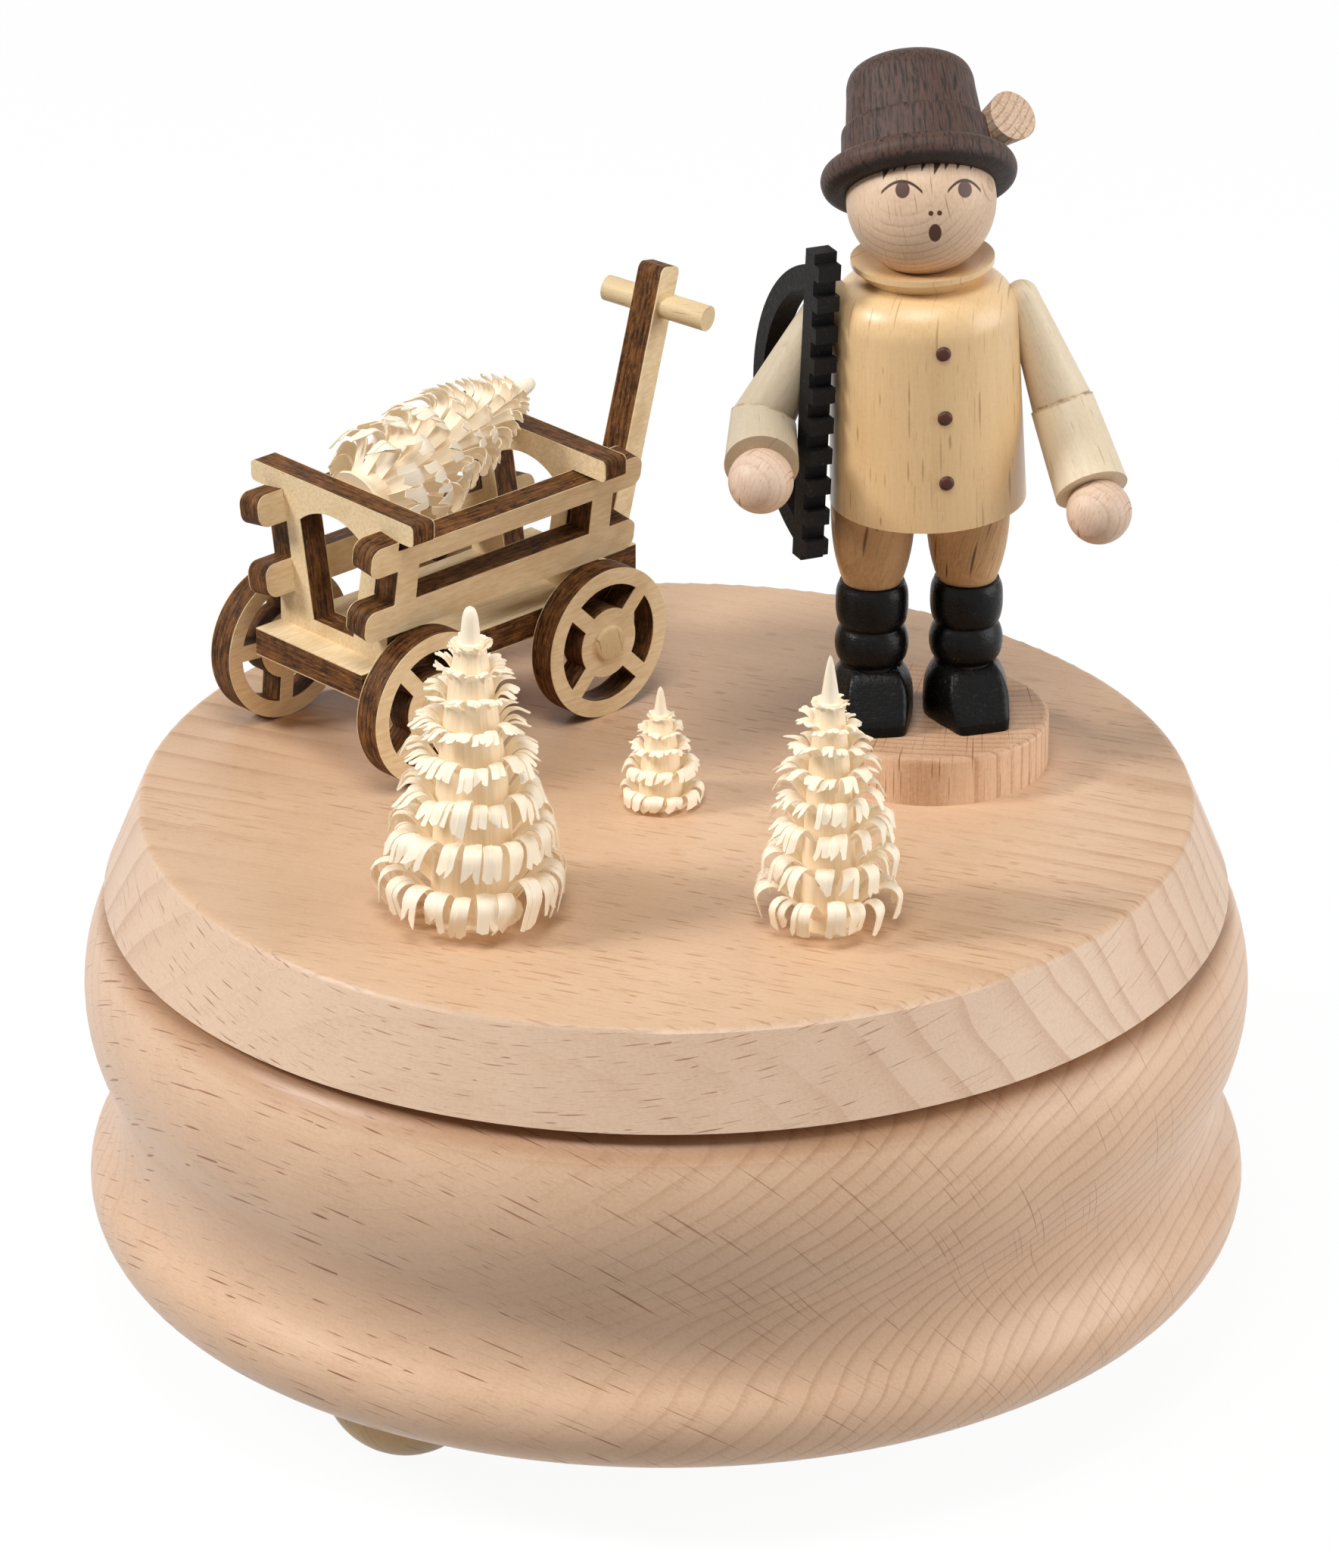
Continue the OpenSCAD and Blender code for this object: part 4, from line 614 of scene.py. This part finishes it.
HALF_PLY, SIDE_LEAN, BAR_RISE, BAR_TURN = 1.3, 8.5, 15.5, 14
LONG, BROAD = CART_TURN[:, 0], CART_TURN[:, 1]
ply_axis = {
    "cart_floor": Z, "cart_tailboard": LONG, "cart_headboard": LONG,
    "cart_side_left": CART_TURN @ turn(0, -SIDE_LEAN)[:, 1],
    "cart_side_right": CART_TURN @ turn(0, SIDE_LEAN)[:, 1],
    "wheel_front_left": BROAD, "wheel_front_right": BROAD, "wheel_rear_left": BROAD, "wheel_rear_right": BROAD,
    "drawbar": CART_TURN @ turn(1, BAR_RISE) @ turn(2, BAR_TURN)[:, 1],
}
cart_ply = {n: plywood(n + "_ply", axis, node_middle(n), HALF_PLY) for n, axis in ply_axis.items()}


def blackened(name, gloss, tone, sheen_and_wear):
    """Black stain over wood: pores, and lighter marks to the given share: fibre marks across the front where the
    stain is worn, and spots that are painted sheen.
    """
    look = Look(name)
    x, y, z = look.axes((0, 0, 0), UNTURNED)
    pore = look.noise(look.point, 2600.0, 3, 0.6)
    spot = look.noise(look.point, 1900.0, 3, 0.7)
    fibre = look.noise(look.vector(x * 0.8, y * 0.8, z * 6), 1, 3, 0.6)
    # Painted sheen in the spots, and real wear in the fibre marks, both lighter than the stain.
    sheen_and_wear_marks = spot.step(0.62, 0.72).math("MAXIMUM", fibre.step(0.6, 0.75) * 0.6) * sheen_and_wear
    colour = look.mix(sheen_and_wear_marks, (tone, tone * 0.88, tone * 0.85), (14 * tone, 12.6 * tone, 11.9 * tone))
    return look.coat(colour, (pore - 0.5) * 0.35 + gloss, pore + fibre * 0.5, 0.05, Specular_IOR_Level=0.15)


boot_black = blackened("boot_black", 0.3, 0.003, 0.6)
saw_black = blackened("saw_black", 0.55, 0.0075, 0.35)


def metal(name, colour, rough, lines):
    """Turned or rolled metal with fine marks."""
    look = Look(name)
    mark = look.noise(look.point, lines, 3)
    tone = look.mix(mark, tuple(0.85 * c for c in colour), colour)
    return look.coat(tone, (mark - 0.5) * 0.2 + rough, mark, 0.01, Metallic=1.0)


brass = metal("brass", (0.78, 0.58, 0.25), 0.3, 1500.0)
steel = metal("steel", (0.62, 0.62, 0.64), 0.3, 2000.0)
zinc = metal("zinc", (0.50, 0.50, 0.52), 0.5, 900.0)


def nylon_look():
    """Off-white plastic."""
    look = Look("nylon")
    cloud = look.noise(look.point, 400.0, 2)
    return look.coat(look.mix(cloud, (0.82, 0.80, 0.74), (0.90, 0.88, 0.83)), cloud * 0.1 + 0.45)


nylon = nylon_look()


def shaving_look():
    """Thin satin shavings with silky streaks along them; the core is warmer. A faint warm glow stands for the light
    that passes through them."""
    look = Look("shaving")
    silk = look.add("Attribute", {"attribute_name": "silk"}, out="Vector")
    along, aside, stem = (look.add("SeparateXYZ", None, {0: silk}).sibling(k) for k in range(3))
    streak = look.noise(look.vector(along * 0.5, aside * 3.0, stem), 1, 3, 0.6)
    blotch = look.noise(look.point, 420.0, 2)
    pale = look.mix(streak.step(0.3, 0.75), (0.95, 0.86, 0.70), (0.90, 0.76, 0.55))
    pale = look.mix(blotch.step(0.35, 0.7) * 0.5, pale, (0.95, 0.87, 0.73))
    core = look.mix(streak.step(0.3, 0.7), (0.95, 0.82, 0.63), (0.90, 0.73, 0.51))
    warm = look.mix(stem.step(0.4, 0.6), (0.95, 0.74, 0.50), (0.95, 0.66, 0.40))
    look.feed(look.shader.inputs["Emission Color"], warm)
    return look.coat(look.mix(stem.step(0.4, 0.6), pale, core), streak * 0.25 + 0.3, streak, 0.03,
                     Emission_Strength=0.09, Specular_IOR_Level=0.3)


shaving = shaving_look()


def button_look():
    """Dark red paint."""
    look = Look("button_red")
    cloud = look.noise(look.point, 1500.0, 2)
    return look.coat(look.mix(cloud, (0.055, 0.015, 0.010), (0.10, 0.030, 0.020)), cloud * 0.2 + 0.3, cloud, 0.02,
                     Specular_IOR_Level=0.25)


slot_looks = {
    "turned_beech": base_beech, "stand_beech": stand_beech, "board_wood": board_wood, "foot_wood": foot_wood,
    "steel": steel, "brass": brass, "zinc": zinc, "nylon": nylon, "boot_black": boot_black, "saw_black": saw_black,
    "trouser_wood": trouser_wood, "coat_wood": coat_wood, "head_wood": head_wood, "hat_wood": hat_wood,
    "tuft_wood": tuft_wood, "dowel_wood": dowel_wood, "shaved_wood": shaving,
}
node_looks = {"turntable_plate": plate_beech, **cart_ply, **sleeves, **hands}
for entry in frame["record"]["subparts"]:
    name = entry["node"]
    look_of = node_looks.get(name) or slot_looks[entry["material_slot"]]
    mesh = frame["nodes"][name].data
    mesh.materials.clear()
    mesh.materials.append(look_of)


# Woodman

brim = [[6.55, -0.45], [7.0, -0.5], [7.75, -0.42], [8.4, 0.05], [8.66, 0.85], [8.5, 1.6], [8.05, 2.05], [7.4, 2.15],
        [6.95, 1.85], [6.8, 2.0]]
band = [[6.72, 2.35], [6.7, 2.7], [6.55, 4.2], [6.46, 5.15], [6.3, 5.5], [6.06, 5.52]]
crown = [[6.02, 5.7], [5.88, 7.0], [5.72, 8.4], [5.6, 9.6], [5.2, 10.55], [4.4, 11.2], [3.3, 11.5], [POINT, 11.6]]
HOLLOW = 6.65  # radius of the hollow that takes the head
cap = np.linspace(POINT, 6.5, 9)[:, None]
inner = np.concatenate([cap, np.sqrt(HOLLOW ** 2 - cap ** 2) - HAT_LIFT], 1)
points, faces = lathe(np.concatenate([inner, rounded(brim, 5), rounded(band, 5), rounded(crown, 5)]), 160)
HAT_AT = HAT_SEAT + HAT_TURN @ np.array([0, 0, HAT_LIFT])
piece("hat_turned", HAT_AT + points @ HAT_TURN.T, faces, hat_wood, "turntable", ["hat"], "hat_wood", CREASE)


def peg(r1, r2, length, k, count=96):
    """Tapered peg along Z whose end is cut on a slant: there z is length - k x. The radius grows from r1 at the foot
    by g per unit of z, to r2 at that length."""
    phi = np.linspace(0, 2 * np.pi, count, endpoint=False)
    g = (r2 - r1) / length
    cut = (length - k * r1 * np.cos(phi)) / (1 + k * g * np.cos(phi))
    side = np.linspace(0, 1, 12)[:, None] * cut
    face = np.linspace(1, POINT, 10)[:, None] * (r1 + g * cut)
    radius = np.concatenate([[0 * phi + POINT], r1 + g * side, face])
    level = np.concatenate([[0 * phi], side, length - k * face * np.cos(phi)])
    return skin(np.stack([radius * np.cos(phi), radius * np.sin(phi), level], -1))


points, faces = peg(r1=1.5, r2=2.3, length=3.5, k=0.5)
points = TUFT_AT + points @ TUFT[:, [1, 2, 0]].T
piece("hat_tuft_cut", points, faces, tuft_wood, "turntable", ["hat_tuft"], "tuft_wood", CREASE)


def shoe(rise=5.37, toe=5.6, half_toe=2.4, heel=3.8):
    """A turned heel cut flat at both sides and slanting down the front. About its axis, with psi counted from the
    back, the outline is the circle r, past the tangent angle the straight side r / cos(psi - tangent), and in front
    the cut at the distance ahead; the powers of minus twenty round the corners."""
    level = np.array([0, 0, 0.12, 0.5, 0.9, 1.1, 1.6, 2.4, 3.2, 3.9, 4.4, 4.8, 5.1, 5.3, rise, rise])
    r = np.array([POINT, 3.62, 3.74, 3.78, heel, heel, heel, 3.78, 3.68, 3.46, 3.22, 2.96, 2.72, 2.5, 2.35,
                  POINT])[:, None]
    ahead = np.minimum(toe, toe + 0.1 - (level - 0.9) * 0.62)[:, None] * np.minimum(1, r / 3.0)
    psi = np.linspace(-np.pi, np.pi, 160, endpoint=False)
    tangent = np.arctan2(toe, half_toe) + np.arcsin(heel / np.hypot(toe, half_toe))
    side = r / np.cos(np.maximum(np.abs(psi) - tangent, 0))
    front = ahead / np.maximum(-np.cos(psi), 0.05)
    reach = (side ** -20 + front ** -20) ** (-1 / 20)
    height = np.repeat(level[:, None], psi.size, 1)
    return skin(np.stack([-reach * np.sin(psi), reach * np.cos(psi), height], -1))


BOOT_APART, BOOT_SHIFT = 4.25, -0.65
shaft = rounded([[POINT, 5.0], [2.6, 5.0], [2.8, 5.4], [3.12, 5.9], [3.3, 6.7], [3.3, 7.5], [3.1, 8.3], [2.86, 8.75],
                 [2.86, 8.95], [3.08, 9.35], [3.24, 10.2], [3.27, 11.2], [3.2, 12.2], [2.95, 12.85], [2.6, 13.1],
                 [POINT, 13.1]], 4)
for side, out, away in (("left", 1, 12), ("right", -1, 2)):
    foot, faces_of_foot = shoe()
    points, faces = joined((foot @ turn(2, away).T, faces_of_foot), lathe(shaft))
    place = woodman((out * BOOT_APART + BOOT_SHIFT, 0, STAND_TOP))
    piece(f"boot_{side}_turned", place + points @ WOODMAN_TURN.T, faces, boot_black, "turntable", ["boot_" + side],
          "boot_black", CREASE)

BUTTON_X, BUTTON_LEVELS, IN_FRONT = 0.75, (91.4, 85.4, 79.3), -30
button = rounded([[POINT, -0.3], [0.5, -0.3], [0.66, -0.1], [0.64, 0.12], [0.42, 0.3], [POINT, 0.36]], 4)
domes = []
for level in BUTTON_LEVELS:
    place, normal = touch("coat", trunk((BUTTON_X, IN_FRONT, level)), TRUNK_TURN @ Y)
    points, faces = lathe(button, 32)
    domes.append((place + points @ framed(normal)[:, [1, 2, 0]].T, faces))
piece("coat_buttons", *joined(*domes), button_look(), "turntable")


# Trees

def plant(node, place, matrix, **size):
    """A shaved tree in place of a CAD node, with its foot at that place and turned by the matrix."""
    points, faces, silk = shaved_tree(**size)
    piece(node + "_shavings", np.asarray(place) + points @ np.asarray(matrix).T, faces, shaving, "turntable", [node],
          "shaved_wood", CREASE, silk)


plant("tree_large", (-16.7, -24.8, PLATE_TOP), UNTURNED, h=29, core=3.7, tip=1.25, reach=7.9, tiers=8, n=21, seed=3,
      spike=0.885, lift=(44, 20), droop=(-102, 130), tear=0.26, slim=(0.42, 0.33, 2), taper=0.3)
plant("tree_medium", (14, -27, PLATE_TOP), UNTURNED, h=25.4, core=2.4, tip=1.15, reach=5.9, tiers=8, n=14, seed=4,
      spike=0.83, lift=(46, 16), droop=(-100, 105), tear=0.4, slim=(0.12, 0.60, 2.5), taper=0.72)
plant("tree_small", (-0.5, -2, PLATE_TOP), UNTURNED, h=11.2, core=2.0, tip=0.85, reach=3.6, tiers=5, n=11, seed=5,
      spike=0.76, lift=(46, 16), droop=(-95, 105), tear=0.5, slim=(0.25, 0.40, 2), taper=0.6)

CART_FLOOR, FELLED_OVER_FLOOR, FELLED_RISE, FELLED_SWING = 11.4, 12.5, 13.5, 2
FELLED_AT = cart((-10.4, 0.3, FELLED_OVER_FLOOR + CART_FLOOR))
FELLED_TURN = CART_TURN @ turn(2, FELLED_SWING) @ turn(1, 90 - FELLED_RISE)
plant("felled_tree", FELLED_AT, FELLED_TURN, h=22.8, core=2.5, tip=1.15, reach=5.5, tiers=8, n=12, seed=6,
      spike=0.88, lift=(52, 14), droop=(-100, 90), tear=0.5, slim=(0.10, 0.45, 2.5), taper=0.25)


# Cart

AXLE_X, HUB_Y, AXLE_Z = (-10.55, 10.55), (-10.05, 12.55), 7.15
hub = rounded([[POINT, -0.4], [1.5, -0.4], [1.66, -0.2], [1.64, 0.22], [1.45, 0.42], [POINT, 0.5]], 4)
caps = []
for x, y in [(x, y) for x in AXLE_X for y in HUB_Y]:
    points, faces = lathe(hub, 40)
    caps.append((cart((x, y, AXLE_Z)) + points @ framed(np.sign(y) * BROAD)[:, [1, 2, 0]].T, faces))
piece("axle_ends", *joined(*caps), dowel_wood, "turntable", (), "dowel_wood", CREASE)


# Camera, light and floor

def aim(obj, place, target):
    """Puts a lamp at a place and turns its -Z towards the target."""
    back = np.subtract(place, target)
    back = back / np.linalg.norm(back)
    side = np.cross(Z, back)
    side = side / np.linalg.norm(side)
    m = np.eye(4)
    m[:3, :3] = np.stack([side, np.cross(back, side), back], -1)
    m[:3, 3] = place
    obj.matrix_world = Matrix(m.tolist())


PHOTO_WIDTH, FOCAL_PX = 1769, 10587.7
SENSOR = 36
CAMERA_AT, CAMERA_DOWN = (0.0003, -0.650, PLATE_TOP * MM + 0.30336), 24.968
camera = bpy.data.objects.new("camera", bpy.data.cameras.new("camera"))
bpy.context.scene.collection.objects.link(camera)
camera.data.sensor_fit = "HORIZONTAL"
camera.data.sensor_width = SENSOR
camera.data.lens = SENSOR * FOCAL_PX / PHOTO_WIDTH
camera.data.clip_start = 0.01
camera.location = CAMERA_AT
camera.rotation_euler = (np.radians(90 - CAMERA_DOWN), 0, 0)
bpy.context.scene.camera = camera


LIT = (0, 0, 0.06)
FILL, BACKDROP = 0.065, 1.0
PAPER_GLOW, PAPER_SHARE, PAPER_HALF = 1.11, 0.85, 4


def softbox(name, place, size, power):
    """Square lamp, sized in metres, aimed at the middle of the music box."""
    lamp = bpy.data.lights.new(name, "AREA")
    lamp.shape = "SQUARE"
    lamp.size = size
    lamp.energy = power
    obj = bpy.data.objects.new(name, lamp)
    bpy.context.scene.collection.objects.link(obj)
    aim(obj, place, LIT)


def bearing(azimuth, elevation, distance=1.0):
    """Place at that azimuth (0 towards the viewer, positive to the right) and elevation, in degrees."""
    a, e = np.radians(azimuth), np.radians(elevation)
    return distance * np.array([np.sin(a) * np.cos(e), -np.cos(a) * np.cos(e), np.sin(e)])


softbox("softbox_left", bearing(-80, 40), 0.24, 5.9)
softbox("softbox_right", bearing(84, 20), 0.7, 6.2)
softbox("softbox_top", bearing(-8, 71, 0.5), 0.2, 1.15)

world = bpy.data.worlds.new("studio")
bpy.context.scene.world = world
world.use_nodes = True
tree = world.node_tree
path = tree.nodes.new("ShaderNodeLightPath")
seen = tree.nodes.new("ShaderNodeMath")
seen.operation = "MAXIMUM"
tree.links.new(path.outputs["Is Camera Ray"], seen.inputs[0])
shiny = tree.nodes.new("ShaderNodeMath")
shiny.operation = "MAXIMUM"
tree.links.new(path.outputs["Is Glossy Ray"], shiny.inputs[0])
tree.links.new(path.outputs["Is Transmission Ray"], shiny.inputs[1])
tree.links.new(shiny.outputs[0], seen.inputs[1])
strength = tree.nodes.new("ShaderNodeMapRange")
tree.links.new(seen.outputs[0], strength.inputs[0])
strength.inputs[3].default_value = FILL
strength.inputs[4].default_value = BACKDROP
tree.links.new(strength.outputs[0], tree.nodes["Background"].inputs["Strength"])
tree.nodes["Background"].inputs["Color"].default_value = (1, 1, 1, 1)

floor_mesh = bpy.data.meshes.new("floor")
corners = [(x * PAPER_HALF, y * PAPER_HALF, 0) for x, y in ((-1, -1), (1, -1), (1, 1), (-1, 1))]
floor_mesh.from_pydata(corners, [], [(0, 1, 2, 3)])
floor = bpy.data.objects.new("floor", floor_mesh)
bpy.context.scene.collection.objects.link(floor)
paper = Look("paper")
grain = paper.noise(paper.point, 300.0, 2)
paper.coat(paper.mix(grain, (0.44, 0.44, 0.44), (0.48, 0.48, 0.48)), grain * 0.1 + 0.8)
straight = paper.add("LightPath", out="Is Camera Ray")
glossy, through = straight.sibling("Is Glossy Ray"), straight.sibling("Is Transmission Ray")
glow = paper.add("Emission", None, {"Color": (1, 1, 1), "Strength": PAPER_GLOW})
blend = paper.add("MixShader", None, {0: straight.math("MAXIMUM", glossy).math("MAXIMUM", through) * PAPER_SHARE,
                                      1: Field(paper, paper.shader.outputs[0]), 2: glow})
paper.feed(paper.tree.nodes["Material Output"].inputs["Surface"], blend)
floor_mesh.materials.append(paper.material)

bpy.context.scene.view_settings.view_transform = "Standard"
